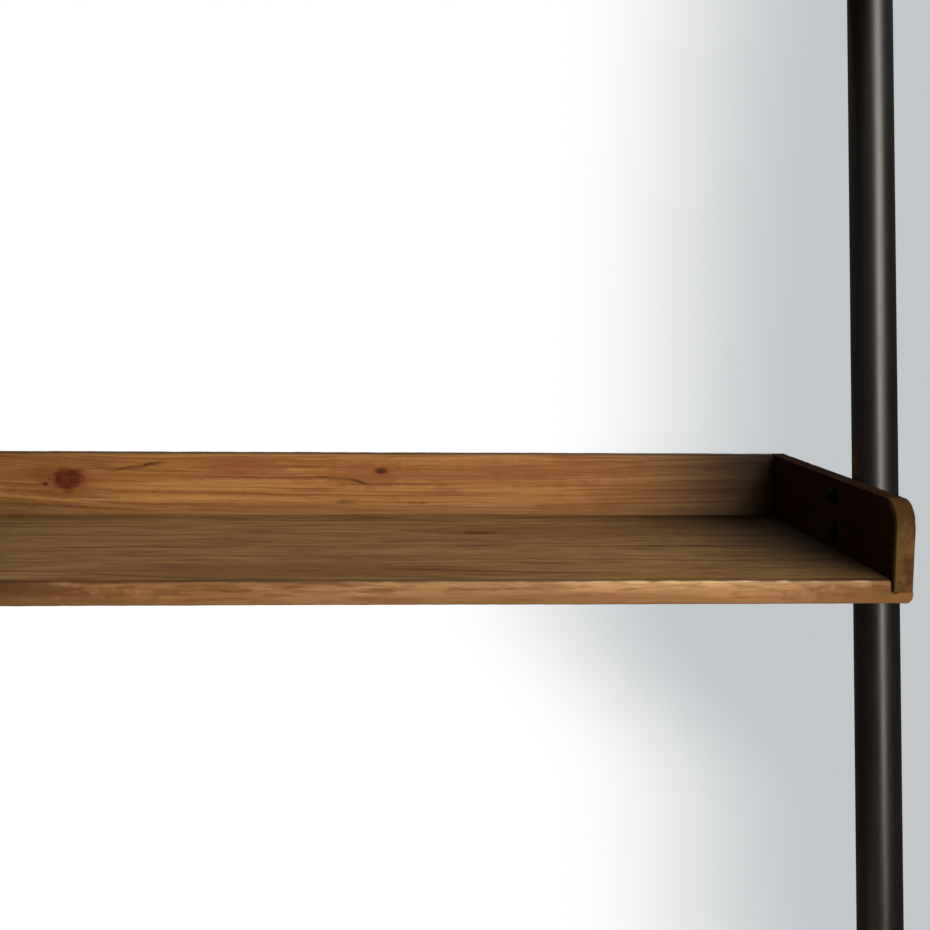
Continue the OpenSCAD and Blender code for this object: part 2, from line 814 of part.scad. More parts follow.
// The wall plate's outline, midway up on the origin, with all four corners rounded
module plate_outline(width) {
    difference() {
        translate([0, -plate_h / 2]) square([width, plate_h]);
        for (flip = [0, 1]) mirror([0, flip]) {
            translate([0, -plate_h / 2]) corner_waste(plate_corner_r);
            translate([width, -plate_h / 2]) mirror([1, 0]) corner_waste(plate_corner_r);
        }
    }
}

// The bolts that the wall brackets turn on
module bracket_bolts() {
    head_at = tube_r + saddle_web + bracket_t + 2 * bracket_play + washer_t;
    color(BLACK) for (side = SIDES) on_side(side)
        out_of_post(bracket_s) translate([0, 0, head_at]) domed_bolt(bracket_bolt_len);
}

// The washers under the bracket bolts' heads
module bracket_washers() {
    washer_at = tube_r + saddle_web + bracket_t + 2 * bracket_play;
    color(BLACK) for (side = SIDES) on_side(side)
        out_of_post(bracket_s) translate([0, 0, washer_at]) washer();
}

// The round saddles that hold the wall brackets off the posts
module bracket_saddles() {
    color(BLACK) for (side = SIDES) on_side(side)
        out_of_post(bracket_s) saddle(saddle_w) flange_hole();
}

post(LEFT);  // left_post
post(RIGHT);  // right_post
top_cap(LEFT);  // left_top_cap
top_cap(RIGHT);  // right_top_cap
deck(0);  // tray_1_deck
back_rail(0);  // tray_1_back_rail
cheek(0, LEFT);  // tray_1_left_cheek
cheek(0, RIGHT);  // tray_1_right_cheek
deck(1);  // tray_2_deck
back_rail(1);  // tray_2_back_rail
cheek(1, LEFT);  // tray_2_left_cheek
cheek(1, RIGHT);  // tray_2_right_cheek
deck(2);  // tray_3_deck
back_rail(2);  // tray_3_back_rail
cheek(2, LEFT);  // tray_3_left_cheek
cheek(2, RIGHT);  // tray_3_right_cheek
deck(3);  // tray_4_deck
back_rail(3);  // tray_4_back_rail
cheek(3, LEFT);  // tray_4_left_cheek
cheek(3, RIGHT);  // tray_4_right_cheek
dowels();
wood_screws();
tray_bolts();
bolt_washers();
rivet_nuts();
tray_saddles(LEFT);  // left_tray_saddles
tray_saddles(RIGHT);  // right_tray_saddles
foot_insert(LEFT);  // left_foot_insert
foot_insert(RIGHT);  // right_foot_insert
lock_nut(LEFT);  // left_lock_nut
lock_nut(RIGHT);  // right_lock_nut
foot_stem(LEFT);  // left_foot_stem
foot_stem(RIGHT);  // right_foot_stem
foot_pad(LEFT);  // left_foot_pad
foot_pad(RIGHT);  // right_foot_pad
foot_sole(LEFT);  // left_foot_sole
foot_sole(RIGHT);  // right_foot_sole
wall_bracket(LEFT);  // left_wall_bracket
wall_bracket(RIGHT);  // right_wall_bracket
bracket_bolts();
bracket_washers();
bracket_saddles();
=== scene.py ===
"""The looks of a leaning ladder shelf.

Four worn wooden trays hang between two dark bronze tube posts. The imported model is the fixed
frame. The boards and the feet's stems are modelled again here. The other metal, plastic, rubber
and beech parts keep their shapes and get their finishes.
"""
import json
import logging
import math
import random
from collections.abc import Callable, Iterator, Sequence
from contextlib import contextmanager
from dataclasses import dataclass, field
from enum import Enum
from functools import reduce
from operator import matmul

import bmesh
import bpy
from mathutils import Matrix, Vector


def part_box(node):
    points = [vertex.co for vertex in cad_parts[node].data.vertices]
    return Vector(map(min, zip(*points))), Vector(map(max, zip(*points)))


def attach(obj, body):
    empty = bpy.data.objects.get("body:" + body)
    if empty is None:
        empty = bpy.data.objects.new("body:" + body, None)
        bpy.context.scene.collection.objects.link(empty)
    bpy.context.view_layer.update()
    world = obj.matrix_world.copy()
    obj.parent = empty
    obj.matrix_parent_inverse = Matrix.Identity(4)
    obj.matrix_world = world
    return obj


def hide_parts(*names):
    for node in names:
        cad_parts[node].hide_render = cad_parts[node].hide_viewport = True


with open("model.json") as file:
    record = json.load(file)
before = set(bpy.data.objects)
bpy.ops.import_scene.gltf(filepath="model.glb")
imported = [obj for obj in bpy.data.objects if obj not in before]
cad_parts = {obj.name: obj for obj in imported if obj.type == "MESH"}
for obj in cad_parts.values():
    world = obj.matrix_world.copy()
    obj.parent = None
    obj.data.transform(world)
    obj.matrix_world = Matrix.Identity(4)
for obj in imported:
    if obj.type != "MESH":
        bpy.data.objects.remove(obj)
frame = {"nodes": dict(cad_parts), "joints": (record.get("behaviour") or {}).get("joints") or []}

log = logging.getLogger("ladder_shelf")

MM = 0.001
X, Y, Z = range(3)
TOUCHING = 0.01 * MM
WELDED = 0.005 * MM
SMOOTH_BELOW = math.radians(40)

Pair = tuple[float, float]
Size = tuple[float, float, float]
Colour = tuple[float, float, float, float]
Socket = bpy.types.NodeSocket
Value = float | Sequence[float] | Socket
Picker = Callable[[Vector, Vector], bool]


def srgb(red: float, green: float, blue: float) -> Colour:
    """Turns a screen colour of 0 to 255 a channel into the renderer's linear one.

    Args:
        red: Red channel.
        green: Green channel.
        blue: Blue channel.

    Returns:
        The linear colour with full cover.
    """
    channels = (c / 255.0 for c in (red, green, blue))
    linear = (c / 12.92 if c <= 0.04045 else ((c + 0.055) / 1.055) ** 2.4 for c in channels)
    return (*linear, 1.0)


def deselect_all() -> None:
    """Leaves no object selected, so that an operator acts on its own piece only."""
    for other in bpy.context.selected_objects:
        other.select_set(False)


# ---- Places in the ladder ----


class Side(Enum):
    """Which side of the ladder a part is on, as the sign of its X."""

    LEFT = -1
    RIGHT = 1

    @property
    def word(self) -> str:
        """Returns the side as it stands in the parts' names."""
        return self.name.lower()


class Lay(Enum):
    """How a board lies: the directions of its grain, its width and its thickness."""

    DECK = ((1, 0, 0), (0, 1, 0), (0, 0, 1))
    RAIL = ((1, 0, 0), (0, 0, 1), (0, -1, 0))
    CHEEK = ((0, 1, 0), (0, 0, 1), (1, 0, 0))

    @property
    def turn(self) -> Matrix:
        """Returns the turn from the ladder's frame to the board's."""
        return Matrix(self.value)


@dataclass(frozen=True)
class Box:
    """An upright box in the ladder's frame, in metres."""

    low: Vector
    high: Vector

    @classmethod
    def of(cls, node: str) -> "Box":
        """Returns the box of a part at rest."""
        return cls(*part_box(node))

    @property
    def middle(self) -> Vector:
        """Returns the box's centre."""
        return (self.low + self.high) / 2

    @property
    def size(self) -> Vector:
        """Returns the box's length along each axis."""
        return self.high - self.low


def solid_boxes(node: str) -> list[Box]:
    """Finds the box of every separate solid in a part that has several.

    Args:
        node: The part's name.

    Returns:
        One box for each solid.
    """
    shape = bmesh.new()
    shape.from_mesh(frame["nodes"][node].data)
    bmesh.ops.remove_doubles(shape, verts=shape.verts, dist=WELDED)
    boxes: list[Box] = []
    waiting = dict.fromkeys(shape.verts)
    while waiting:
        solid = [waiting.popitem()[0]]
        for vertex in solid:
            for edge in vertex.link_edges:
                other = edge.other_vert(vertex)
                if other in waiting:
                    del waiting[other]
                    solid.append(other)
        corners = [[vertex.co[axis] for vertex in solid] for axis in (X, Y, Z)]
        boxes.append(Box(Vector(map(min, corners)), Vector(map(max, corners))))
    shape.free()
    return boxes


# ---- Shader nodes ----


class Graph:
    """The node tree of one finish, with a short call for each kind of node."""

    def __init__(self, owner: bpy.types.Material | bpy.types.World) -> None:
        """Empties a tree.

        Args:
            owner: The material or world that it belongs to.
        """
        owner.use_nodes = True
        self.owner = owner
        self.tree = owner.node_tree
        self.tree.nodes.clear()

    @classmethod
    def of_material(cls, name: str) -> "Graph":
        """Starts a material of that name."""
        return cls(bpy.data.materials.new(name))

    def add(self, kind: str, inputs: dict[int | str, Value], **options: object) -> bpy.types.Node:
        """Adds a node.

        Args:
            kind: The node's type.
            inputs: What goes into each named or numbered input.
            options: The node's own settings.

        Returns:
            The node.
        """
        node = self.tree.nodes.new(kind)
        for option, setting in options.items():
            setattr(node, option, setting)
        for key, value in inputs.items():
            if isinstance(value, bpy.types.NodeSocket):
                self.tree.links.new(value, node.inputs[key])
            else:
                node.inputs[key].default_value = value
        return node

    def step(self, operation: str, *values: Value) -> Socket:
        """Returns the outcome of one arithmetic step, such as DIVIDE or FLOOR."""
        return self.add("ShaderNodeMath", dict(enumerate(values)), operation=operation).outputs[0]

    def plus(self, *values: Value) -> Socket:
        """Returns the sum of all the values."""
        return reduce(lambda total, value: self.step("ADD", total, value), values)

    def minus(self, value: Value, taken: Value) -> Socket:
        """Returns a value less another."""
        return self.step("SUBTRACT", value, taken)

    def product(self, *values: Value) -> Socket:
        """Returns all the values multiplied together."""
        return reduce(lambda total, value: self.step("MULTIPLY", total, value), values)

    def scaled(self, value: Value, factor: Value, added: Value) -> Socket:
        """Returns a value times a factor, and something added to that."""
        return self.step("MULTIPLY_ADD", value, factor, added)

    def spread(self, value: Value, reach: float) -> Socket:
        """Turns a noise of 0 to 1 into a swing about zero of that reach each way."""
        return self.scaled(value, 2.0 * reach, -reach)

    def away(self, value: Value, place: Value) -> Socket:
        """Returns the distance from a place along one direction."""
        return self.step("ABSOLUTE", self.minus(value, place))

    def ramp(self, value: Value, start: float, end: float) -> Socket:
        """Returns a soft step from 0 at the start to 1 at the end, which may be the lower one."""
        inputs = {0: value, 1: start, 2: end}
        return self.add("ShaderNodeMapRange", inputs, interpolation_type="SMOOTHSTEP").outputs[0]

    def mix(self, under: Value, over: Value, *shares: Value) -> Socket:
        """Returns a colour with another laid over it by the product of the shares."""
        inputs = {0: self.product(*shares), 6: under, 7: over}
        return self.add("ShaderNodeMix", inputs, data_type="RGBA").outputs[2]

    def join(self, along: Value, across: Value, deep: Value) -> Socket:
        """Returns a vector from its three numbers."""
        return self.add("ShaderNodeCombineXYZ", {0: along, 1: across, 2: deep}).outputs[0]

    def split(self, vector: Socket) -> tuple[Socket, Socket, Socket]:
        """Returns a vector's three numbers."""
        outputs = self.add("ShaderNodeSeparateXYZ", {0: vector}).outputs
        return outputs[0], outputs[1], outputs[2]

    def vector(self, operation: str, *values: Value) -> Socket:
        """Returns the outcome of one step on vectors, such as SUBTRACT."""
        inputs = dict(enumerate(values))
        return self.add("ShaderNodeVectorMath", inputs, operation=operation).outputs[0]

    def length(self, vector: Socket) -> Socket:
        """Returns a vector's length."""
        return self.add("ShaderNodeVectorMath", {0: vector}, operation="LENGTH").outputs["Value"]

    def noise(
        self, place: Socket, grain: Size, seed: float = 0.0, detail: float = 2.0, rough: float = 0.5
    ) -> Socket:
        """Adds a soft noise of 0 to 1.

        Args:
            place: Where it is read.
            grain: The size of its patches along each direction.
            seed: Shift that makes one noise differ from the next.
            detail: How many finer layers it has.
            rough: How strong the finer layers are.

        Returns:
            The noise.
        """
        finer = tuple(1.0 / size for size in grain)
        shift = (seed * 1.31, seed * 2.17 + 5.0, -seed * 1.73)
        moved = self.vector("MULTIPLY_ADD", place, finer, shift)
        inputs = {"Vector": moved, "Scale": 1.0, "Detail": detail, "Roughness": rough}
        return self.add("ShaderNodeTexNoise", inputs).outputs[0]

    def specks(self, place: Socket, cell: Size, reach: Size, share: float, seed: float) -> Socket:
        """Adds small scattered marks, at most one to a cell.

        Args:
            place: Where they are read.
            cell: The size of a cell along each direction.
            reach: How far a mark reaches from its centre along each direction.
            share: The share of the cells that hold one.
            seed: Shift that makes one scatter differ from the next.

        Returns:
            How much of a mark there is, from 0 to 1.
        """
        finer = tuple(1.0 / size for size in cell)
        moved = self.vector("MULTIPLY_ADD", place, finer, (seed, -seed, seed * 0.7))
        cells = self.add("ShaderNodeTexVoronoi", {"Vector": moved, "Scale": 1.0}).outputs
        offset = self.vector("SUBTRACT", moved, cells["Position"])
        in_reaches = tuple(size / most for size, most in zip(cell, reach))
        far = self.length(self.vector("MULTIPLY", offset, in_reaches))
        kept = self.step("LESS_THAN", self.split(cells["Color"])[0], share)
        return self.product(self.ramp(far, 1.0, 0.4), kept)

    def place(self, middle: Sequence[float] = (0.0, 0.0, 0.0), lay: Lay = Lay.DECK) -> Socket:
        """Finds the place in a board, or in the ladder's frame.

        Args:
            middle: The board's centre in the ladder's frame.
            lay: How the board lies.

        Returns:
            Millimetres from the middle along the grain, across it and through the thickness.
        """
        inputs = {
            "Vector": self.add("ShaderNodeTexCoord", {}).outputs["Object"],
            "Location": tuple(-(lay.turn @ Vector(middle)) / MM),
            "Rotation": tuple(lay.turn.to_euler("XYZ")),
            "Scale": (1 / MM,) * 3,
        }
        return self.add("ShaderNodeMapping", inputs).outputs[0]

    def finish(
        self,
        colour: Value,
        roughness: Value,
        relief: Socket | None = None,
        depth: float = 0.1 * MM,
        **others: Value,
    ) -> bpy.types.Material:
        """Closes the tree with its surface.

        Args:
            colour: The base colour.
            roughness: The roughness.
            relief: Height of the surface's relief, from 0 to 1.
            depth: How deep that relief is, in metres.
            others: The shader's other sockets, with spaces written as underscores.

        Returns:
            The material.
        """
        sockets = {"Base Color": colour, "Roughness": roughness}
        sockets.update({name.replace("_", " "): setting for name, setting in others.items()})
        if relief is not None:
            inputs = {"Strength": 1.0, "Distance": depth, "Height": relief}
            sockets["Normal"] = self.add("ShaderNodeBump", inputs).outputs[0]
        shader = self.add("ShaderNodeBsdfPrincipled", sockets)
        self.add("ShaderNodeOutputMaterial", {"Surface": shader.outputs[0]})
        return self.owner


# ---- A board's marks, in millimetres from its middle ----


@dataclass(frozen=True)
class Knot:
    """A knot, longer along the grain, that pushes the rings aside."""

    along: float
    across: float
    radius: float
    longer: float = 1.25
    push: float = 7.0
    tone: float = 1.0


@dataclass(frozen=True)
class Patch:
    """A soft patch along the grain."""

    along: float
    across: float
    length: float
    width: float
    tone: float = 0.5


class Stain(Patch):
    """A patch of darker, redder wood."""


class Comb(Patch):
    """A patch of close parallel pale lines that follow the grain."""


@dataclass(frozen=True)
class Stretch:
    """A stretch of the board's length."""

    start: float
    end: float

    @property
    def middle(self) -> float:
        """Returns the stretch's middle."""
        return (self.start + self.end) / 2

    @property
    def reach(self) -> float:
        """Returns how far it goes each way from its middle."""
        return (self.end - self.start) / 2


@dataclass(frozen=True)
class Slope(Stretch):
    """A stretch where the grain climbs or falls across the board."""

    rise: float


@dataclass(frozen=True)
class Rub(Stretch):
    """A stretch of a deck's front edge that is rubbed pale and carries a painted highlight."""

    tone: float = 0.8


@dataclass(frozen=True)
class Streak(Stretch):
    """A dark or pale line along the grain."""

    across: float
    width: float
    slope: float = 0.0
    tone: float = 0.8
    wander: float = 1.0
    pale: bool = False


Mark = Knot | Patch | Stretch


@dataclass(frozen=True)
class Board:
    """A board that gets a wood finish.

    The inside is the distance from its middle to each cheek's inner side, and the corner shade is
    how dark the painted shade in the tray's left and right corners is on it. Inner is the sign of
    the side of a cheek that faces the tray.
    """

    name: str
    box: Box
    lay: Lay
    seed: float
    marks: tuple[Mark, ...]
    inner: int
    corner: float
    inside: float
    grime: Pair

    @property
    def half(self) -> Vector:
        """Returns half the board's length, width and thickness, in millimetres."""
        size = self.lay.turn @ self.box.size
        return Vector(abs(s) / 2 / MM for s in size)

    def marks_of(self, kind: type) -> list[Mark]:
        """Returns the board's marks of one kind, in their order."""
        return [mark for mark in self.marks if isinstance(mark, kind)]


# ---- Wood ----

# Painted shade: the near-black of the tray's shaded inner corners and of the rail's top edge.
PAINTED_SHADE = srgb(16, 8, 5)
# Painted shade: the dark brown of the cheeks' shaded inner sides and tops.
CHEEK_SHADE = srgb(36, 15, 9)
# Pale rubbed wood of the deck's front arris, with a painted highlight on it.
RUBBED_HIGHLIGHT = srgb(232, 188, 138)


@dataclass(frozen=True, kw_only=True)
class Wood:
    """Old oiled pine, sawn into one kind of board."""

    slot: str = "tray_wood"
    light: Colour
    middle: Colour
    late: Colour
    red: Colour
    dull: Colour
    knot: Colour
    rim: Colour
    crack: Colour
    ring: float
    pith: Pair
    ring_tone: float
    line: Size
    line_tone: float
    fine: Size
    sway: float
    matt: float = 0.5
    gloss: float = 0.2
    # Where the painted corner shade is full and where it ends, in millimetres from each corner.
    grime_reach: Pair = (-12.0, 226.0)


@dataclass(frozen=True, kw_only=True)
class FacedWood(Wood):
    """Pine whose front face has a colour of its own."""

    front: Colour
    front_late: Colour


class BoardFinish(Graph):
    """The finish of one board: its grain, and its colour and relief as they are laid up."""

    comb_pitch: float = 5.0
    depth: float = 0.16 * MM

    def __init__(self, wood: Wood, board: Board) -> None:
        """Lays out the grain: it wanders, and climbs where the board has a slope.

        Args:
            wood: The wood that the board is sawn from.
            board: The board.
        """
        super().__init__(bpy.data.materials.new(f"{wood.slot}_{board.name}"))
        self.wood, self.board, self.half = wood, board, board.half
        seed = board.seed
        self.here = self.place(board.box.middle, board.lay)
        self.along, self.across, self.deep = self.split(self.here)
        sway = self.spread(self.noise(self.here, (420, 120, 120), seed), wood.sway)
        ripple = self.noise(self.here, (110, 30, 30), seed + 3, 1.0)
        self.line = self.plus(self.across, sway, self.spread(ripple, wood.sway * 0.16))
        for mark in board.marks_of(Slope):
            climb = self.ramp(self.along, mark.start, mark.end)
            self.line = self.scaled(climb, -mark.rise, self.line)
        self.flow = self.join(self.along, self.line, self.deep)
        self.mottle = self.noise(self.here, (13, 7, 7), seed + 21, 4.0, 0.65)
        self.patchy = self.noise(self.here, (8, 6, 6), seed + 24, 3.0, 0.6)
        self.lines = self.noise(self.flow, wood.line, seed + 12, 3.0, 0.6)
        self.hair = self.noise(self.flow, (46, 0.8, 0.8), seed + 15, 3.0, 0.65)
        self.band = self.noise(self.flow, (330, 13, 13), seed + 9, 3.0, 0.6)
        self.colour = self.mix(wood.light, wood.middle, self.ramp(self.band, 0.32, 0.66))
        self.relief = self.scaled(self.hair, 0.35, self.product(self.lines, 0.5))

    def paint(self) -> bpy.types.Material:
        """Lays up the ground, the marks, the small wear and the edges.

        Returns:
            The material.
        """
        knots = [
            (knot, self._far(knot, knot.radius * knot.longer, knot.radius))
            for knot in self.board.marks_of(Knot)
        ]
        self._lay_ground(self._rings(knots))
        for mark in self.board.marks_of(Patch):
            self._lay_patch(mark)
        for knot, near in knots:
            self._lay_knot(knot, near)
        for mark in self.board.marks_of(Streak):
            self._lay_streak(mark)
        self._lay_small_wear()
        self._lay_edges()
        roughness = self.scaled(self.band, 0.2, self.wood.matt)
        gloss = self.wood.gloss
        return self.finish(
            self.colour, roughness, self.relief, self.depth, Specular_IOR_Level=gloss
        )

    def lay(self, over: Value, *shares: Value) -> Socket:
        """Lays a colour over the board.

        Args:
            over: The colour.
            shares: What its cover is the product of.

        Returns:
            The cover.
        """
        cover = self.product(*shares)
        self.colour = self.mix(self.colour, over, cover)
        return cover

    def press(self, cover: Socket, height: float) -> None:
        """Raises the relief under a cover by a height, or sinks it where that is below 0."""
        self.relief = self.scaled(cover, height, self.relief)

    def _far(self, mark: Knot | Patch, reach_along: float, reach_across: float) -> Socket:
        """Measures how far a point is from a mark's centre.

        Args:
            mark: The mark.
            reach_along: Its reach along the grain.
            reach_across: Its reach across the grain.

        Returns:
            The distance, as a share of the reach in that direction.
        """
        long_way = self.step("DIVIDE", self.minus(self.along, mark.along), reach_along)
        cross_way = self.step("DIVIDE", self.minus(self.across, mark.across), reach_across)
        return self.length(self.join(long_way, cross_way, 0.0))

    def _rings(self, knots: list[tuple[Knot, Socket]]) -> Socket:
        """Draws the growth rings: a soft rise to late wood and a sharp return, no two alike.

        Args:
            knots: The knots that push the rings aside, each with the distance in knot radii.

        Returns:
            How much late wood there is, from 0 to 1.
        """
        line, deep = self.wood.pith
        from_pith = self.join(0.0, self.minus(self.line, line), self.minus(self.deep, deep))
        radius = self.length(from_pith)
        for knot, near in knots:
            wide = self.product(near, 0.62)
            fall = self.step("EXPONENT", self.product(wide, wide, -1.0))
            radius = self.scaled(fall, knot.push, radius)
        ring, seed = self.wood.ring, self.board.seed
        uneven = self.noise(self.join(radius, 0.0, 0.0), (ring * 4, 1, 1), seed + 5, 1.0)
        rings = self.plus(self.step("DIVIDE", radius, ring), self.spread(uneven, 1.1))
        part, number = self.step("FRACT", rings), self.step("FLOOR", rings)
        chance = self.add("ShaderNodeTexWhiteNoise", {"W": number}, noise_dimensions="1D")
        fade = self.noise(self.flow, (170, 26, 26), seed + 6)
        return self.product(
            self.ramp(part, 0.3, 0.9),
            self.ramp(part, 1.0, 0.92),
            self.scaled(chance.outputs[0], 0.75, 0.25),
            self.ramp(fade, 0.25, 0.7),
        )

    def _lay_ground(self, late: Socket) -> None:
        """Lays clouds, rings, lines and hairs over the bands.

        Args:
            late: How much late wood there is, from 0 to 1.
        """
        wood, seed = self.wood, self.board.seed
        cloud = self.noise(self.here, (95, 26, 26), seed + 18, 4.0, 0.62)
        self.lay(wood.red, self.ramp(cloud, 0.5, 0.7), 0.6)
        self.lay(wood.dull, self.ramp(cloud, 0.44, 0.28), 0.5)
        self.lay(wood.late, late, wood.ring_tone)
        self.press(late, 0.25)
        self._lay_front()
        self.lay(wood.late, self.ramp(self.lines, 0.53, 0.62), wood.line_tone)
        self.lay(wood.light, self.ramp(self.lines, 0.46, 0.37), wood.line_tone * 0.7)
        fine = self.noise(self.flow, wood.fine, seed + 30, 3.0, 0.55)
        self.lay(wood.late, self.ramp(fine, 0.53, 0.62), 0.45)
        self.lay(wood.light, self.ramp(fine, 0.45, 0.37), 0.45)
        self.lay(wood.late, self.ramp(self.hair, 0.5, 0.78), 0.35)

    def _lay_front(self) -> None:
        """Lays a front face under the lines, which a plain board doesn't have."""

    def _lay_patch(self, mark: Patch) -> None:
        """Lays a stain, or a comb of lines that are each as strong as their place makes them.

        Args:
            mark: The stain or the comb.
        """
        far = self._far(mark, mark.length / 2, mark.width / 2)
        far = self.plus(far, self.spread(self.mottle, 0.7), self.spread(self.lines, 0.8))
        cover = self.product(self.ramp(far, 1.2, 0.5), mark.tone)
        if isinstance(mark, Stain):
            self.lay(self.wood.red, cover)
            return
        wave = self.step("DIVIDE", self.line, self.comb_pitch)
        wave = self.plus(wave, self.spread(self.lines, 0.9))
        teeth = self.ramp(self.step("PINGPONG", wave, 0.5), 0.3, 0.46)
        self.lay(self.wood.light, cover, teeth, self.ramp(self.mottle, 0.3, 0.56))

    def _lay_knot(self, knot: Knot, near: Socket) -> None:
        """Lays a knot: a red halo, a dark core and a ragged heart.

        Args:
            knot: The knot.
            near: The distance from its centre, in knot radii.
        """
        ragged = self.plus(near, self.spread(self.mottle, 0.95))
        self.lay(self.wood.red, self.ramp(ragged, 2.4, 0.8), 0.65 * knot.tone)
        core = self.lay(self.wood.knot, self.ramp(ragged, 1.25, 0.55), knot.tone)
        heart = self.product(self.ramp(ragged, 0.8, 0.5), self.ramp(self.patchy, 0.44, 0.58))
        self.lay(self.wood.rim, heart, 0.6 * knot.tone)
        self.press(core, -0.4)

    def _lay_streak(self, mark: Streak) -> None:
        """Lays a streak that thins out towards both ends.

        Args:
            mark: The streak.
        """
        line = self.scaled(self.along, mark.slope, mark.across - mark.slope * mark.middle)
        wander = self.spread(self.mottle, (1.2 + mark.width) * mark.wander)
        off_line = self.away(self.across, self.plus(line, wander))
        shade = self.lay(
            self.wood.light if mark.pale else self.wood.crack,
            self.ramp(off_line, mark.width, mark.width * 0.15),
            self.ramp(self.away(self.along, mark.middle), mark.reach * 1.6, mark.reach * 0.4),
            self.scaled(self.ramp(self.mottle, 0.35, 0.6), 0.5, 0.5),
            mark.tone,
        )
        self.press(shade, 0.3 if mark.pale else -0.6)

    def _lay_small_wear(self) -> None:
        """Lays nicks across the grain, pits, and short open pores."""
        seed = self.board.seed
        nicks = self.specks(self.here, (41, 13, 13), (0.5, 2.6, 2.6), 0.5, seed + 1.5)
        pits = self.specks(self.here, (23, 11, 11), (1.1, 0.7, 0.8), 0.5, seed + 4.5)
        pores = self.specks(self.flow, (38, 4.5, 4.5), (9, 0.35, 0.5), 0.6, seed + 7.5)
        hurt = self.step("MAXIMUM", self.step("MAXIMUM", nicks, pits), pores)
        self.lay(self.wood.rim, hurt, 0.5)
        self.press(hurt, -0.5)

    def _lay_edges(self) -> None:
        """Finishes the edges and corners, in each kind of board's own way."""

    def _lay_grime(self, *nearer: Value, facing: Value = 1.0) -> None:
        """Paints shade on the board's inner face towards the tray's two corners.

        Args:
            nearer: How much further from its corner the painted shade reaches.
            facing: Where on the inner face it lies.
        """
        inner_face = self.ramp(self.deep, 0.0, self.half.z - 1.0)
        ragged = self.plus(self.spread(self.mottle, 12.0), *nearer)
        least, most = self.wood.grime_reach
        for side, strength in zip(Side, self.board.grime):
            away = self.scaled(self.along, -side.value, self.board.inside)
            near = self.ramp(self.plus(away, ragged), most, least)
            # Painted shade in each corner, as strong as that side's corner shade.
            self.lay(PAINTED_SHADE, near, inner_face, facing, strength)


class DeckFinish(BoardFinish):
    """A deck: painted shade in its corners, a line of old oil, and a rubbed front edge with a
    painted highlight.

    Each pair is where something starts and where it is full, in millimetres from the front, or
    from the arris for the pale line there and the wear below it, which carry a painted highlight.
    The lean is how much further the painted corner shade reaches at the front than at the back.
    """

    face: Pair = (2.6, 0.9)
    oil_front: Pair = (0.3, 1.5)
    oil_back: Pair = (11.0, 6.0)
    oil_tone: float = 0.45
    # Where the painted corner shade lies on the deck, and how far it reaches.
    grime_front: Pair = (1.0, 5.0)
    grime_wide: Pair = (80.0, 5.0)
    grime_wider: float = 34.0
    grime_start: float = 20.0
    grime_lean: float = 84.0
    arris: Pair = (2.7, 1.9)
    arris_tone: float = 0.9
    below: Pair = (6.2, 2.6)
    below_tone: float = 0.38

    def __init__(self, wood: FacedWood, board: Board) -> None:
        """Lays out the grain and the distance from the front.

        Args:
            wood: The wood that the deck is sawn from.
            board: The deck.
        """
        super().__init__(wood, board)
        self.from_front = self.plus(self.across, self.half.y)

    def _lay_front(self) -> None:
        """Lays the front edge's brighter wood."""
        late = self.wood.front_late
        flecks = self.noise(self.flow, (26, 1.6, 1.6), self.board.seed + 33, 4.0, 0.65)
        face = self.mix(self.wood.front, late, self.ramp(self.band, 0.3, 0.66))
        face = self.mix(face, late, self.ramp(flecks, 0.5, 0.66), 0.6)
        self.lay(face, self.ramp(self.from_front, *self.face))

    def _lay_edges(self) -> None:
        """Lays the oil behind the front edge, the painted corner shade and the rubbed front edge
        with its painted highlight.
        """
        front, height = self.from_front, self.half.z
        ragged = self.spread(self.mottle, 2.2)
        self.lay(
            self.wood.crack,
            self.ramp(front, *self.oil_front),
            self.ramp(self.plus(front, ragged), *self.oil_back),
            self.ramp(self.deep, height - 3.0, height - 0.5),
            self.oil_tone,
        )
        on_front = self.ramp(front, 2.4, 0.8)
        lower = self.ramp(self.plus(self.deep, ragged), 1.5, -4.0)
        self.lay(self.wood.front_late, lower, on_front, 0.45)
        # Painted shade in the deck's corners, which reaches less far near the front edge.
        leaning = self.scaled(front, -self.grime_lean / (2 * self.half.y), self.grime_start)
        wider = self.product(self.ramp(front, *self.grime_wide), self.grime_wider)
        self._lay_grime(leaning, wider, facing=self.ramp(front, *self.grime_front))
        self._lay_rubbed(on_front)

    def _lay_rubbed(self, on_front: Socket) -> None:
        """Lays the pale line along the front arris and the wear below it, partly painted highlight.

        Args:
            on_front: How much of the front face there is, from 0 to 1.
        """
        skin = self.minus(self.half.z, self.step("ABSOLUTE", self.deep))
        arris = self.plus(self.from_front, skin)
        edge = self.ramp(self.plus(arris, self.spread(self.mottle, 0.5)), *self.arris)
        edge = self.product(edge, self.ramp(self.deep, 3.0, 6.0), self.arris_tone)
        below = self.ramp(self.plus(arris, self.spread(self.mottle, 3.4)), *self.below)
        below = self.product(below, self.ramp(self.deep, 0.0, 4.0), on_front, self.below_tone)
        pale = self.step("MAXIMUM", edge, below)
        lengthways = self.join(self.along, 0.0, 0.0)
        whole = self.noise(lengthways, (90, 1, 1), self.board.seed, 4.0, 0.7)
        whole = self.ramp(whole, 0.36, 0.6)
        for mark in self.board.marks_of(Rub):
            gaps = 0.8 - 0.55 * mark.tone
            worn = self.scaled(whole, gaps, 1.0 - gaps)
            off = self.away(self.along, mark.middle)
            stretch = self.ramp(off, mark.reach + 6.0, mark.reach - 24.0)
            # Rubbed wear with a painted highlight, stretch by stretch.
            self.lay(RUBBED_HIGHLIGHT, pale, worn, stretch, mark.tone)


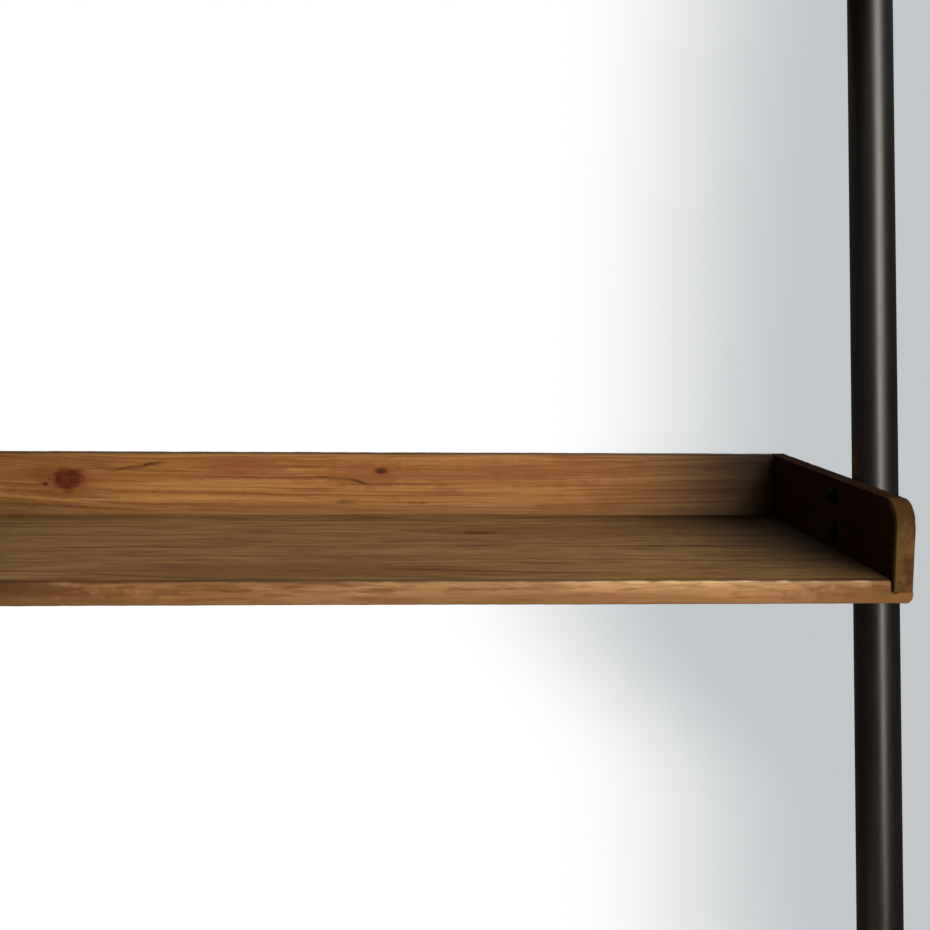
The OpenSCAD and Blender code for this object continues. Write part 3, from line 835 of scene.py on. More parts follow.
class RailFinish(BoardFinish):
    """A back rail with painted shade: dull at its foot, dark along its top and in the corners.

    Each pair is where something starts and where it is full, in millimetres from the foot, or
    from the top for the painted dark line there.
    """

    foot: Pair = (26.0, 10.0)
    foot_tone: float = 0.46
    top: Pair = (1.8, 0.4)
    top_tone: float = 0.65

    def _lay_edges(self) -> None:
        """Lays the painted shade: the dull foot, the dark top and the dark corners."""
        from_foot = self.plus(self.across, self.half.y, self.spread(self.mottle, 5.0))
        # Painted shade at the foot, where the rail stands on the deck.
        self.lay(self.wood.dull, self.ramp(from_foot, *self.foot), self.foot_tone)
        from_top = self.minus(self.half.y, self.across)
        # Painted shade along the top edge.
        self.lay(PAINTED_SHADE, self.ramp(from_top, *self.top), self.top_tone)
        # Painted shade in the two corners.
        self._lay_grime()


class CheekFinish(BoardFinish):
    """A cheek: painted shade on its top and its inner side, and a rubbed front.

    Each pair is where something starts and where it is full, in millimetres. The skin is measured
    from the inner side, the rims from the rim, the upper part and the top from the top, and the
    others from the front.
    """

    oil_skin: Pair = (2.5, 0.6)
    oil_rim: Pair = (0.3, 1.6)
    oil_tone: float = 0.9
    front_rim: Pair = (7.0, 1.5)
    front_reach: Pair = (26.0, 6.0)
    face_tone: float = 0.75
    shade_tone: float = 0.7
    upper: Pair = (34.0, -6.0)
    upper_tone: float = 0.75
    top: Pair = (3.0, 0.6)
    top_front: Pair = (8.0, 34.0)
    top_tone: float = 0.88

    def _lay_edges(self) -> None:
        """Lays the painted shade on the inner side and on the top, and the front end."""
        half, corner, wood = self.half, self.board.corner, self.wood
        from_front, below_top = self.plus(self.along, half.x), self.minus(half.y, self.across)
        before = self.step("MAXIMUM", self.minus(corner, from_front), 0.0)
        above = self.step("MAXIMUM", self.minus(corner, below_top), 0.0)
        from_rim = self.minus(corner, self.length(self.join(before, above, 0.0)))
        inward = self.product(self.deep, float(self.board.inner))
        # Painted shade over the whole inner side, fading out at its rim.
        inner_side = self.ramp(self.minus(half.z, inward), *self.oil_skin)
        self.lay(CHEEK_SHADE, inner_side, self.ramp(from_rim, *self.oil_rim), self.oil_tone)

        front = self.ramp(from_front, *self.front_reach)
        front = self.product(self.ramp(from_rim, *self.front_rim), front)
        patch = self.noise(self.here, (14, 12, 7), self.board.seed + 36, 3.0, 0.55)
        face = self.mix(wood.front, wood.front_late, self.ramp(patch, 0.42, 0.6))
        self.lay(face, front, self.face_tone)
        shade = self.ramp(self.plus(inward, self.spread(self.mottle, 3.4)), -1.0, 7.0)
        self.lay(wood.dull, front, shade, self.shade_tone)
        upper = self.ramp(self.minus(below_top, above), *self.upper)
        self.lay(wood.late, front, upper, self.upper_tone)

        # Painted shade along the top, behind the front corner.
        behind = self.ramp(from_front, *self.top_front)
        self.lay(CHEEK_SHADE, self.ramp(below_top, *self.top), behind, self.top_tone)


RAIL_WOOD = Wood(
    light=srgb(202, 144, 80),
    middle=srgb(170, 113, 57),
    late=srgb(118, 70, 31),
    red=srgb(150, 88, 42),
    dull=srgb(124, 89, 46),
    knot=srgb(114, 52, 15),
    rim=srgb(76, 32, 8),
    crack=srgb(84, 46, 18),
    ring=3.6,
    pith=(27.0, -46.0),
    ring_tone=0.3,
    line=(240.0, 4.2, 4.2),
    line_tone=0.29,
    fine=(120.0, 2.0, 2.0),
    sway=6.0,
)
DECK_WOOD = FacedWood(
    slot="deck_wood",
    light=srgb(162, 124, 75),
    middle=srgb(138, 101, 58),
    late=srgb(92, 62, 33),
    red=srgb(116, 76, 42),
    dull=srgb(112, 86, 48),
    knot=srgb(76, 48, 22),
    rim=srgb(50, 33, 15),
    crack=srgb(66, 42, 19),
    front=srgb(198, 148, 98),
    front_late=srgb(146, 98, 58),
    ring=6.5,
    pith=(-40.0, -240.0),
    ring_tone=0.3,
    line=(84.0, 9.0, 9.0),
    line_tone=0.36,
    fine=(46.0, 4.0, 4.0),
    sway=3.0,
    matt=0.6,
    gloss=0.04,
    grime_reach=(-24.0, 186.0),
)
CHEEK_WOOD = FacedWood(
    light=srgb(118, 86, 44),
    middle=srgb(92, 66, 32),
    late=srgb(64, 41, 20),
    red=srgb(88, 54, 26),
    dull=srgb(94, 75, 36),
    knot=srgb(48, 28, 14),
    rim=srgb(34, 22, 12),
    crack=srgb(40, 24, 12),
    front=srgb(108, 74, 38),
    front_late=srgb(82, 50, 28),
    ring=4.5,
    pith=(20.0, -46.0),
    ring_tone=0.4,
    line=(160.0, 3.4, 3.4),
    line_tone=0.45,
    fine=(90.0, 1.8, 1.8),
    sway=6.0,
    gloss=0.01,
)


# ---- Metal, plastic, rubber and beech ----


@dataclass(frozen=True)
class BronzeCoat:
    """Satin dark bronze powder coat on the steel tube and the wall brackets."""

    base: Colour = srgb(4, 3, 2)
    worn: Colour = srgb(11, 9, 7)
    sheen: Colour = (1.0, 0.9, 0.82, 1.0)
    roughness: float = 0.31
    depth: float = 0.03 * MM

    def paint(self, name: str) -> bpy.types.Material:
        """Makes the coat, with its faint orange peel, dust and rubbed patches.

        Args:
            name: The material's name.

        Returns:
            The material.
        """
        graph = Graph.of_material(name)
        place = graph.place()
        peel = graph.noise(place, (0.9, 0.9, 0.9), 1.0)
        patch = graph.noise(place, (34, 34, 90), 4.0, 3.0)
        dust = graph.specks(place, (7, 7, 7), (0.5, 0.5, 0.5), 0.35, 2.0)
        colour = graph.mix(self.base, self.worn, graph.ramp(patch, 0.42, 0.72), 0.5)
        colour = graph.mix(colour, self.worn, dust, 0.5)
        roughness = graph.scaled(patch, 0.12, self.roughness)
        gloss = {"Specular_IOR_Level": 0.8, "Specular_Tint": self.sheen}
        return graph.finish(colour, roughness, peel, self.depth, **gloss)


@dataclass(frozen=True)
class Plain:
    """A plain material that worn patches dull: moulded plastic, rubber or steel.

    The grain is the size of its relief's finest marks, and the patches that of its wear.
    """

    base: Colour
    worn: Colour
    roughness: float
    grain: Size = (0.5, 0.5, 0.5)
    depth: float = 0.04 * MM
    patches: Size = (6, 6, 14)
    wear: Pair = (0.55, 0.78)
    tone: float = 0.6
    rougher: float = 0.12
    metallic: float = 0.0
    gloss: float = 0.4
    seeds: Pair = (2.0, 7.0)

    def paint(self, name: str) -> bpy.types.Material:
        """Makes the finish, with its fine relief and its dull patches.

        Args:
            name: The material's name.

        Returns:
            The material.
        """
        graph = Graph.of_material(name)
        place = graph.place()
        relief = graph.noise(place, self.grain, self.seeds[0])
        worn = graph.ramp(graph.noise(place, self.patches, self.seeds[1], 4.0, 0.65), *self.wear)
        colour = graph.mix(self.base, self.worn, worn, self.tone)
        roughness = graph.scaled(worn, self.rougher, self.roughness)
        gloss = {"Metallic": self.metallic, "Specular_IOR_Level": self.gloss}
        return graph.finish(colour, roughness, relief, self.depth, **gloss)


@dataclass(frozen=True)
class Steel(Plain):
    """Plated or blackened steel, with fine scratches up the ladder."""

    grain: Size = (0.4, 0.4, 6)
    depth: float = 0.008 * MM
    patches: Size = (5, 5, 5)
    wear: Pair = (0.45, 0.72)
    tone: float = 0.7
    rougher: float = 0.18
    metallic: float = 1.0
    gloss: float = 0.5
    seeds: Pair = (8.0, 3.0)


@dataclass(frozen=True)
class Beech:
    """Pale beech of the dowels, with its short brown flecks."""

    light: Colour = srgb(206, 170, 122)
    fleck: Colour = srgb(150, 106, 66)

    def paint(self, name: str) -> bpy.types.Material:
        """Makes the finish, with the grain along the dowels.

        Args:
            name: The material's name.

        Returns:
            The material.
        """
        graph = Graph.of_material(name)
        place = graph.place()
        fibre = graph.noise(place, (24, 0.8, 0.8), 5.0, 3.0, 0.6)
        flecks = graph.specks(place, (5, 1.4, 1.4), (1.4, 0.2, 0.2), 0.7, 3.0)
        colour = graph.mix(self.light, self.fleck, graph.ramp(fibre, 0.4, 0.8), 0.4)
        colour = graph.mix(colour, self.fleck, flecks, 0.7)
        return graph.finish(colour, 0.6, fibre, 0.05 * MM, Specular_IOR_Level=0.3)


BLACK_PLASTIC = Plain(srgb(27, 26, 25), srgb(48, 46, 44), 0.48)
SOLE_RUBBER = Plain(srgb(20, 20, 20), srgb(44, 43, 41), 0.8, (0.8, 0.8, 0.8))
BLACK_STEEL = Steel(srgb(6, 4, 3), srgb(12, 9, 7), 0.6, metallic=0.0, gloss=0.05)
ZINC_STEEL = Steel(srgb(176, 178, 180), srgb(140, 140, 138), 0.28)


# ---- Shaping ----


@dataclass(frozen=True)
class Rounding:
    """A rounded edge: its radius, and the number of facets in it."""

    radius: float
    facets: int


def edges_at(**places: Sequence[float]) -> Picker:
    """Makes a test for edges that lie along the named axes' given places.

    Args:
        places: The places along x, y or z, at one of which both of an edge's ends are.

    Returns:
        The test.
    """

    def picked(a: Vector, b: Vector) -> bool:
        """Tells whether an edge passes."""
        ends = {axis: (getattr(a, axis), getattr(b, axis)) for axis in places}
        return all(
            any(max(abs(end - place) for end in ends[axis]) < TOUCHING for place in at)
            for axis, at in places.items()
        )

    return picked


class Cut(Enum):
    """What a workpiece keeps of itself when it is cut with another one."""

    OUTSIDE = "DIFFERENCE"
    INSIDE = "INTERSECT"


class Workpiece:
    """A piece on the bench, shaped by edit-mode steps on edges and faces picked by their place."""

    def __init__(self, name: str, piece: bpy.types.Object) -> None:
        """Takes an object and puts its place, turn and size in its mesh.

        Args:
            name: The piece's name.
            piece: The object, which is selected and active.
        """
        self.piece = piece
        self.piece.name = self.piece.data.name = name
        self.settle()

    @classmethod
    def start(cls, name: str, add: Callable[..., set[str]], **sizes: object) -> "Workpiece":
        """Starts from a primitive.

        Args:
            name: The piece's name.
            add: The operator that adds the primitive.
            sizes: The operator's settings.

        Returns:
            The workpiece.
        """
        deselect_all()
        add(**sizes)
        return cls(name, bpy.context.object)

    @classmethod
    def block(cls, name: str, box: Box) -> "Workpiece":
        """Starts from a block that fills a box."""
        add = bpy.ops.mesh.primitive_cube_add
        return cls.start(name, add, size=1.0, location=box.middle, scale=box.size)

    @classmethod
    def turned(
        cls,
        name: str,
        radii: Pair,
        height: float,
        foot: Vector,
        sides: int = 32,
        turn: float = 0.0,
    ) -> "Workpiece":
        """Starts from an upright prism, cylinder or cone.

        Args:
            name: The piece's name.
            radii: The radius at its foot and at its top.
            height: Its height.
            foot: The middle of its lower end.
            sides: The number of its sides.
            turn: How far it is turned about its axis, in radians.

        Returns:
            The workpiece.
        """
        return cls.start(
            name,
            bpy.ops.mesh.primitive_cone_add,
            vertices=sides,
            radius1=radii[0],
            radius2=radii[1],
            depth=height,
            location=foot + Vector((0, 0, height / 2)),
            rotation=(0, 0, turn),
        )

    def settle(self) -> None:
        """Puts the object's place, turn and size into its mesh."""
        bpy.ops.object.transform_apply(location=True, rotation=True, scale=True)

    @contextmanager
    def edit(self, kind: str) -> Iterator[bmesh.types.BMesh]:
        """Opens the mesh in edit mode with nothing selected, and closes it again.

        Args:
            kind: What is selected: VERT, EDGE or FACE.

        Yields:
            The mesh being edited.
        """
        bpy.ops.object.mode_set(mode="EDIT")
        bpy.ops.mesh.select_mode(type=kind)
        bpy.ops.mesh.select_all(action="DESELECT")
        yield bmesh.from_edit_mesh(self.piece.data)
        bpy.ops.object.mode_set(mode="OBJECT")

    def bevel(self, picked: Picker, rounding: Rounding) -> None:
        """Rounds some edges.

        Args:
            picked: Test of an edge's two ends.
            rounding: What they are rounded to.
        """
        with self.edit("EDGE") as shape:
            for edge in shape.edges:
                edge.select_set(picked(*(vertex.co for vertex in edge.verts)))
            bmesh.update_edit_mesh(self.piece.data)
            sizes = {"offset": rounding.radius, "segments": rounding.facets}
            bpy.ops.mesh.bevel(affect="EDGES", clamp_overlap=False, **sizes)

    def raise_faces(self, picked: Picker, height: float) -> None:
        """Extrudes faces straight up.

        Args:
            picked: Test of a face's middle and normal.
            height: How far they go.
        """
        with self.edit("FACE") as shape:
            for face in shape.faces:
                face.select_set(picked(face.calc_center_median(), face.normal))
            bmesh.update_edit_mesh(self.piece.data)
            bpy.ops.mesh.extrude_region_move(TRANSFORM_OT_translate={"value": (0.0, 0.0, height)})

    def slice(self, axis: int, places: Sequence[float]) -> None:
        """Cuts the mesh across one axis, without taking anything off.

        Args:
            axis: The axis.
            places: The places of the cuts along it.
        """
        normal = tuple(float(axis == other) for other in (X, Y, Z))
        with self.edit("VERT"):
            for place in places:
                bpy.ops.mesh.select_all(action="SELECT")
                bpy.ops.mesh.bisect(plane_co=Vector(normal) * place, plane_no=normal)

    def divide(self, axis: int, step: float) -> None:
        """Cuts the mesh across one axis into even slices.

        Args:
            axis: The axis.
            step: About how long each slice is.
        """
        ends = [corner[axis] for corner in self.piece.bound_box]
        low, high = min(ends), max(ends)
        count = max(1, round((high - low) / step))
        self.slice(axis, [low + (high - low) * k / count for k in range(1, count)])

    def close_ends(self) -> None:
        """Fills the two ends of a wound thread and turns its faces outwards."""
        with self.edit("VERT"):
            bpy.ops.mesh.select_all(action="SELECT")
            bpy.ops.mesh.fill_holes(sides=3)
            bpy.ops.mesh.normals_make_consistent(inside=False)

    def modify(self, kind: str, **settings: object) -> None:
        """Adds a modifier and applies it.

        Args:
            kind: The modifier's type.
            settings: Its settings.
        """
        bpy.context.view_layer.objects.active = self.piece
        modifier = self.piece.modifiers.new(kind, kind)
        for setting, value in settings.items():
            setattr(modifier, setting, value)
        bpy.ops.object.modifier_apply(modifier=modifier.name)

    def wear(self, edges: Callable[[Vector], float], nick: float, hollow: float) -> None:
        """Rubs the board: shallow hollows all over, and nicks along its free edges.

        Args:
            edges: How far each point may be nicked, from 0 to 1.
            nick: Depth of the deepest nick.
            hollow: Depth of the hollows.
        """
        group = self.piece.vertex_groups.new(name="free_edges")
        for vertex in self.piece.data.vertices:
            if (weight := edges(vertex.co)) > 0:
                group.add([vertex.index], weight, "REPLACE")
        hollows = (70 * MM, 1.0, hollow, "")
        nicks = (11 * MM, 2.6, nick, group.name)
        for size, contrast, depth, only in (hollows, nicks):
            cloud = bpy.data.textures.new("wear", "CLOUDS")
            cloud.noise_scale, cloud.contrast = size, contrast
            self.modify(
                "DISPLACE", texture=cloud, strength=depth, mid_level=1.0, vertex_group=only
            )
            bpy.data.textures.remove(cloud)

    def cut(self, other: "Workpiece", kept: Cut) -> None:
        """Cuts this workpiece with another one.

        Args:
            other: The other workpiece, which is used up.
            kept: What is kept of this one.
        """
        self.modify("BOOLEAN", object=other.piece, operation=kept.value, solver="EXACT")
        bpy.data.objects.remove(other.piece)

    def join(self, *others: "Workpiece") -> None:
        """Makes other workpieces part of this one.

        Args:
            others: The other workpieces, which are used up.
        """
        deselect_all()
        for workpiece in (self, *others):
            workpiece.piece.select_set(True)
        bpy.context.view_layer.objects.active = self.piece
        bpy.ops.object.join()

    def copy(self, name: str, place: Sequence[float], turn: Sequence[float]) -> "Workpiece":
        """Copies the piece with its own mesh.

        Args:
            name: The copy's name.
            place: Where the copy goes.
            turn: How it is turned, in radians about each axis.

        Returns:
            The copy.
        """
        deselect_all()
        piece = self.piece.copy()
        piece.data = self.piece.data.copy()
        bpy.context.scene.collection.objects.link(piece)
        piece.location, piece.rotation_euler = place, turn
        piece.select_set(True)
        bpy.context.view_layer.objects.active = piece
        return Workpiece(name, piece)

    def finish(self, body: str, slot: str, material: bpy.types.Material, node: str) -> None:
        """Smooths the mesh, dresses it and puts it in its part's place.

        Args:
            body: The body that it rides on.
            slot: The record's finish; not used.
            material: What it is dressed in.
            node: The part that it stands for.
        """
        bpy.context.view_layer.objects.active = self.piece
        self.piece.select_set(True)
        bpy.ops.object.shade_smooth_by_angle(angle=SMOOTH_BELOW)
        self.modify("WEIGHTED_NORMAL", keep_sharp=True)
        self.piece.vertex_groups.clear()
        self.piece.data.materials.clear()
        self.piece.data.materials.append(material)
        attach(self.piece, body)
        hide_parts(node)
        triangles = sum(len(p.vertices) - 2 for p in self.piece.data.polygons)
        log.info("%s: %d triangles", self.piece.name, triangles)


# ---- The trays ----


@dataclass
class Tray:
    """One tray: a rebated deck with a back rail and two cheeks standing on its tongue."""

    number: int
    marks: dict[str, tuple[Mark, ...]] = field(default_factory=dict)
    shadow_gap: float = 0.6 * MM
    tongue_ends: Rounding = Rounding(6.0 * MM, 7)
    under: Rounding = Rounding(1.5 * MM, 3)
    front_corners: Rounding = Rounding(4.5 * MM, 6)
    front_top: Rounding = Rounding(2.5 * MM, 5)
    raised_ends: Rounding = Rounding(0.75 * MM, 2)
    cheek_corner: Rounding = Rounding(22.0 * MM, 14)
    rim: Rounding = Rounding(1.5 * MM, 4)
    seat_play: float = 0.05 * MM
    seat_sunk: float = 0.2 * MM
    seat_below: float = 0.4 * MM
    # Strength of the painted corner shade on the left and on the right; the light comes from the
    # right, so the right is darker.
    grime: Pair = (0.24, 0.94)
    step_along: float = 7.0 * MM
    step_deep: float = 11.9 * MM
    step_up: float = 9.8 * MM
    nick: float = 0.8 * MM
    hollow: float = 0.3 * MM
    front_reach: float = 5.0 * MM
    front_top_reach: float = 4.0 * MM
    front_wear: Pair = (1.0, 0.35)
    rim_reach: float = 3.0 * MM
    rim_wear: float = 0.3

    def __post_init__(self) -> None:
        """Reads the tray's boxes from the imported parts."""
        self.deck = Box.of(self._node("deck"))
        self.rail = Box.of(self._node("back_rail"))
        self.cheeks = {side: Box.of(self._node(f"{side.word}_cheek")) for side in Side}
        self.inside = self.cheeks[Side.RIGHT].low.x

    def build(self) -> None:
        """Builds and dresses the tray's boards."""
        self._build_deck()
        self._build_rail()
        for side in Side:
            self._build_cheek(side)

    def _node(self, board: str) -> str:
        """Returns the name of the part that a board stands for."""
        return f"tray_{self.number}_{board}"

    def _marks_for(self, board: str, length: float, width: float) -> tuple[Mark, ...]:
        """Finds the board's own marks, or a few chosen by the board's name.

        Args:
            board: The board's name.
            length: Its length, in millimetres.
            width: Its width, in millimetres.

        Returns:
            The marks.
        """
        if board in self.marks:
            return self.marks[board]
        draw = random.Random(f"{self.number} {board}").uniform
        short = length < 500
        knots = [
            Knot(
                draw(-0.45, 0.45) * length,
                draw(-0.35, 0.4) * width,
                draw(3.0, min(11.0, width * 0.13)),
                draw(1.1, 1.6),
                tone=draw(0.6, 1.0),
            )
            for _ in range(1 if short else 3)
        ]
        streaks = []
        for _ in range(1 if short else 4):
            start = draw(-0.48, 0.3) * length
            end = start + draw(40, 150)
            across = draw(-0.4, 0.4) * width
            streaks.append(Streak(start, end, across, draw(0.6, 1.6), draw(-0.02, 0.02)))
        stain = Stain(draw(-0.4, 0.4) * length, draw(-0.3, 0.3) * width, 70, width * 0.3)
        start = draw(-0.45, 0.05) * length
        return (*knots, *streaks, stain, Rub(start, start + draw(0.25, 0.45) * length))

    def _board(self, name: str, box: Box, lay: Lay, inner: int = 0) -> Board:
        """Gathers what a wood finish needs to know of one of the tray's boards.

        Args:
            name: The board's name.
            box: The box that it fills.
            lay: How it lies.
            inner: The sign of the side of a cheek that faces the tray.

        Returns:
            The board.
        """
        length, width, _ = (abs(s) / MM for s in lay.turn @ box.size)
        return Board(
            name=self._node(name),
            box=box,
            lay=lay,
            seed=self.number * 7.3 + len(name) * 1.9 + (3.1 if inner > 0 else 0.0),
            marks=self._marks_for(name, length, width),
            inner=inner,
            corner=self.cheek_corner.radius / MM,
            inside=self.inside / MM,
            grime=self.grime,
        )

    def _build_deck(self) -> None:
        """Shapes the deck: a tongue, the raised board on it, rounded edges and screw seats."""
        low, high = self.deck.low, self.deck.high
        tongue = self.rail.low.z
        wide = self.inside - self.shadow_gap
        back = self.rail.low.y - self.shadow_gap
        block = Box(low, Vector((high.x, high.y, tongue)))
        deck = Workpiece.block(f"deck_board_{self.number}", block)
        deck.slice(X, (-wide, wide))
        deck.slice(Y, (back,))
        at_front, at_top = edges_at(x=(-wide, wide), y=(low.y,)), edges_at(z=(high.z,))
        slack = 0.1 * MM

        def under_raised(middle: Vector, normal: Vector) -> bool:
            """Picks the tongue's upper face where the raised board stands."""
            return normal.z > 0.9 and abs(middle.x) < wide and middle.y < back

        def upright(a: Vector, b: Vector) -> bool:
            """Picks the raised board's two upright front edges."""
            return at_front(a, b) and max(a.z, b.z) > tongue + MM

        def front_top(a: Vector, b: Vector) -> bool:
            """Picks the raised board's top front edge, round both corners."""
            return at_top(a, b) and max(a.y, b.y) < low.y + self.front_corners.radius + slack

        def free(point: Vector) -> float:
            """Returns how much of the front edge's wear a point takes."""
            near_top = point.z > high.z - self.front_top_reach
            most = self.front_wear[0 if near_top else 1]
            return max(0.0, 1.0 - (point.y - low.y) / self.front_reach) * most

        deck.raise_faces(under_raised, high.z - tongue)
        deck.bevel(edges_at(x=(low.x, high.x), z=(low.z,)), self.tongue_ends)
        deck.bevel(edges_at(y=(low.y, high.y), z=(low.z,)), self.under)
        deck.bevel(upright, self.front_corners)
        deck.bevel(front_top, self.front_top)
        deck.bevel(edges_at(x=(-wide, wide), z=(high.z,)), self.raised_ends)
        deck.divide(X, self.step_along)
        deck.divide(Y, self.step_deep)
        deck.wear(free, self.nick, self.hollow)
        deck.cut(self._screw_seats(), Cut.OUTSIDE)
        board = self._board("deck", self.deck, Lay.DECK)
        deck.finish("frame", DECK_WOOD.slot, DeckFinish(DECK_WOOD, board).paint(), board.name)

    def _screw_seats(self) -> Workpiece:
        """Makes the seats of this deck's screws as one shape to take out of it.

        Returns:
            The seats.
        """
        under = self.deck.low.z
        screws = [b for b in solid_boxes("wood_screws") if abs(b.low.z - under) < 2 * MM]
        radius = screws[0].size.x / 2 + self.seat_play
        sunk = screws[0].low.z - under + self.seat_sunk
        seats = []
        for screw in screws:
            foot = Vector((screw.middle.x, screw.middle.y, under + sunk))
            seat = Workpiece.turned("seat", (radius, radius / 2), radius / 2, foot, 24)
            seat.raise_faces(lambda _, normal: normal.z < -0.9, -(sunk + self.seat_below))
            seats.append(seat)
        seats[0].join(*seats[1:])
        return seats[0]

    def _build_rail(self) -> None:
        """Shapes the back rail: a board with its two upper edges rounded."""
        low, high = self.rail.low, self.rail.high

        def free(point: Vector) -> float:
            """Returns how much of the upper edges' wear a point takes."""
            return self.rim_wear if point.z > high.z - self.rim_reach else 0.0

        rail = Workpiece.block(f"rail_board_{self.number}", self.rail)
        rail.bevel(edges_at(y=(low.y, high.y), z=(high.z,)), self.rim)
        rail.divide(X, self.step_along)
        rail.divide(Z, self.step_up)
        rail.wear(free, self.nick, self.hollow)
        board = self._board("back_rail", self.rail, Lay.RAIL)
        rail.finish("frame", RAIL_WOOD.slot, RailFinish(RAIL_WOOD, board).paint(), board.name)

    def _build_cheek(self, side: Side) -> None:
        """Shapes a cheek: a board with a round front top corner and a rounded rim.

        Args:
            side: The side of the tray that it is on.
        """
        box = self.cheeks[side]
        low, high = box.low, box.high
        broad = edges_at(x=(low.x, high.x))
        foot, back = edges_at(z=(low.z,)), edges_at(y=(high.y,))

        def rim(a: Vector, b: Vector) -> bool:
            """Picks the outline of both broad sides, but for its foot and its back."""
            return broad(a, b) and not foot(a, b) and not back(a, b)

        def free(point: Vector) -> float:
            """Returns how much of the rim's wear a point takes."""
            top = point.z > high.z - self.rim_reach
            return self.rim_wear if top or point.y < low.y + self.rim_reach else 0.0

        cheek = Workpiece.block(f"cheek_board_{self.number}_{side.word}", box)
        cheek.bevel(edges_at(y=(low.y,), z=(high.z,)), self.cheek_corner)
        cheek.bevel(rim, self.rim)
        cheek.divide(Y, self.step_along)
        cheek.divide(Z, self.step_up)
        cheek.wear(free, self.nick, self.hollow)
        board = self._board(f"{side.word}_cheek", box, Lay.CHEEK, -side.value)
        cheek.finish("frame", CHEEK_WOOD.slot, CheekFinish(CHEEK_WOOD, board).paint(), board.name)


SECOND_TRAY_MARKS: dict[str, tuple[Mark, ...]] = {
    "back_rail": (
        Slope(-400, -190, -9),
        Knot(-282, 8.5, 11.5, 1.35, 4.0, 1.0),
        Knot(14, 17, 3.8, 1.5, 3.0, 1.0),
        Streak(8, 20, 17, 3.4, 0.0, 0.85, 0.5),
        Knot(-302, 4, 1.9, 1.6, 1.0, 1.0),
        Stain(-304, 15, 52, 14, 0.75),
        Streak(-240, -196, 20.5, 3.2, 0.15, 0.75, 0.9),
        Streak(-218, -197, 22.5, 1.4, 0.1, 0.8, 0.4),
        Stain(-124, 20, 84, 24, 0.7),
        Streak(-186, -30, 10.3, 1.3, -0.01, 0.55),
        Streak(-48, -14, 10.3, 1.7, -0.07, 0.85, 0.5),
        Streak(-18, 1, 7.0, 2.2, -0.3, 0.9, 0.4),
        Streak(-8, 84, 4.4, 1.2, 0.0, 0.7, 0.7),
        Stain(2, 13, 84, 30, 0.7),
        Stain(130, 14, 230, 34, 0.45),
        Streak(-28, -10, -13, 4.0, 0.0, 0.5, 0.6),
        Streak(40, 58, -14, 2.2, 0.0, 0.55, 0.5),
        Streak(-440, -226, -15.0, 2.6, -0.05, 0.6, 0.4),
        Streak(-440, -240, -6.6, 2.4, -0.09, 1.0, 0.4, True),
        Streak(-290, -110, -10.4, 2.0, 0.01, 0.95, 0.4, True),
        Comb(-150, -3, 240, 34, 0.85),
        Comb(-370, -8, 190, 50, 0.8),
    ),
    "deck": (
        Streak(-225, -8, -23, 4.2, 0.0, 0.45),
        Streak(-340, -140, -70, 4.0, 0.0, 0.4),
        Streak(-226, -100, -146, 6.0, -0.2, 0.5),
        Knot(100, 47, 6.5, 2.6, 3.0, 0.9),
        Streak(88, 112, 47, 2.2, 0.0, 0.5, 0.1, True),
        Streak(212, 312, -21, 6.0, 0.0, 0.8, 0.6),
        Streak(196, 250, -34, 5.0, 0.0, 0.5),
        Streak(20, 190, -131, 4.0, -0.12, 0.5),
        Streak(286, 372, -105, 4.0, -0.3, 0.4),
        Streak(120, 200, -96, 5.0, 0.0, 0.35),
        Stain(-350, -170, 330, 26, 1.0),
        Stain(-60, -120, 300, 60, 0.5),
        Stain(180, 60, 240, 90, 0.5),
        Streak(-560, -262, -172, 14, 0.0, 0.95, 0.35),
        Streak(366, 470, -170, 14, 0.0, 0.4, 0.35),
        Stain(420, -170, 220, 26, 0.7),
        Rub(-240, -30, 0.1),
        Rub(-20, 140, 0.24),
        Rub(140, 396, 0.85),
    ),
    "right_cheek": (
        Streak(-180, -130, 22, 0.9, 0.0, 0.4),
        Streak(-180, -140, -0.5, 0.8, 0.0, 0.3),
        Streak(-180, -125, -19, 0.9, 0.0, 0.35),
        Knot(51, -6, 9, 1.6),
        Knot(-78, -3, 9, 2.4),
    ),
}


# ---- The feet's stems ----


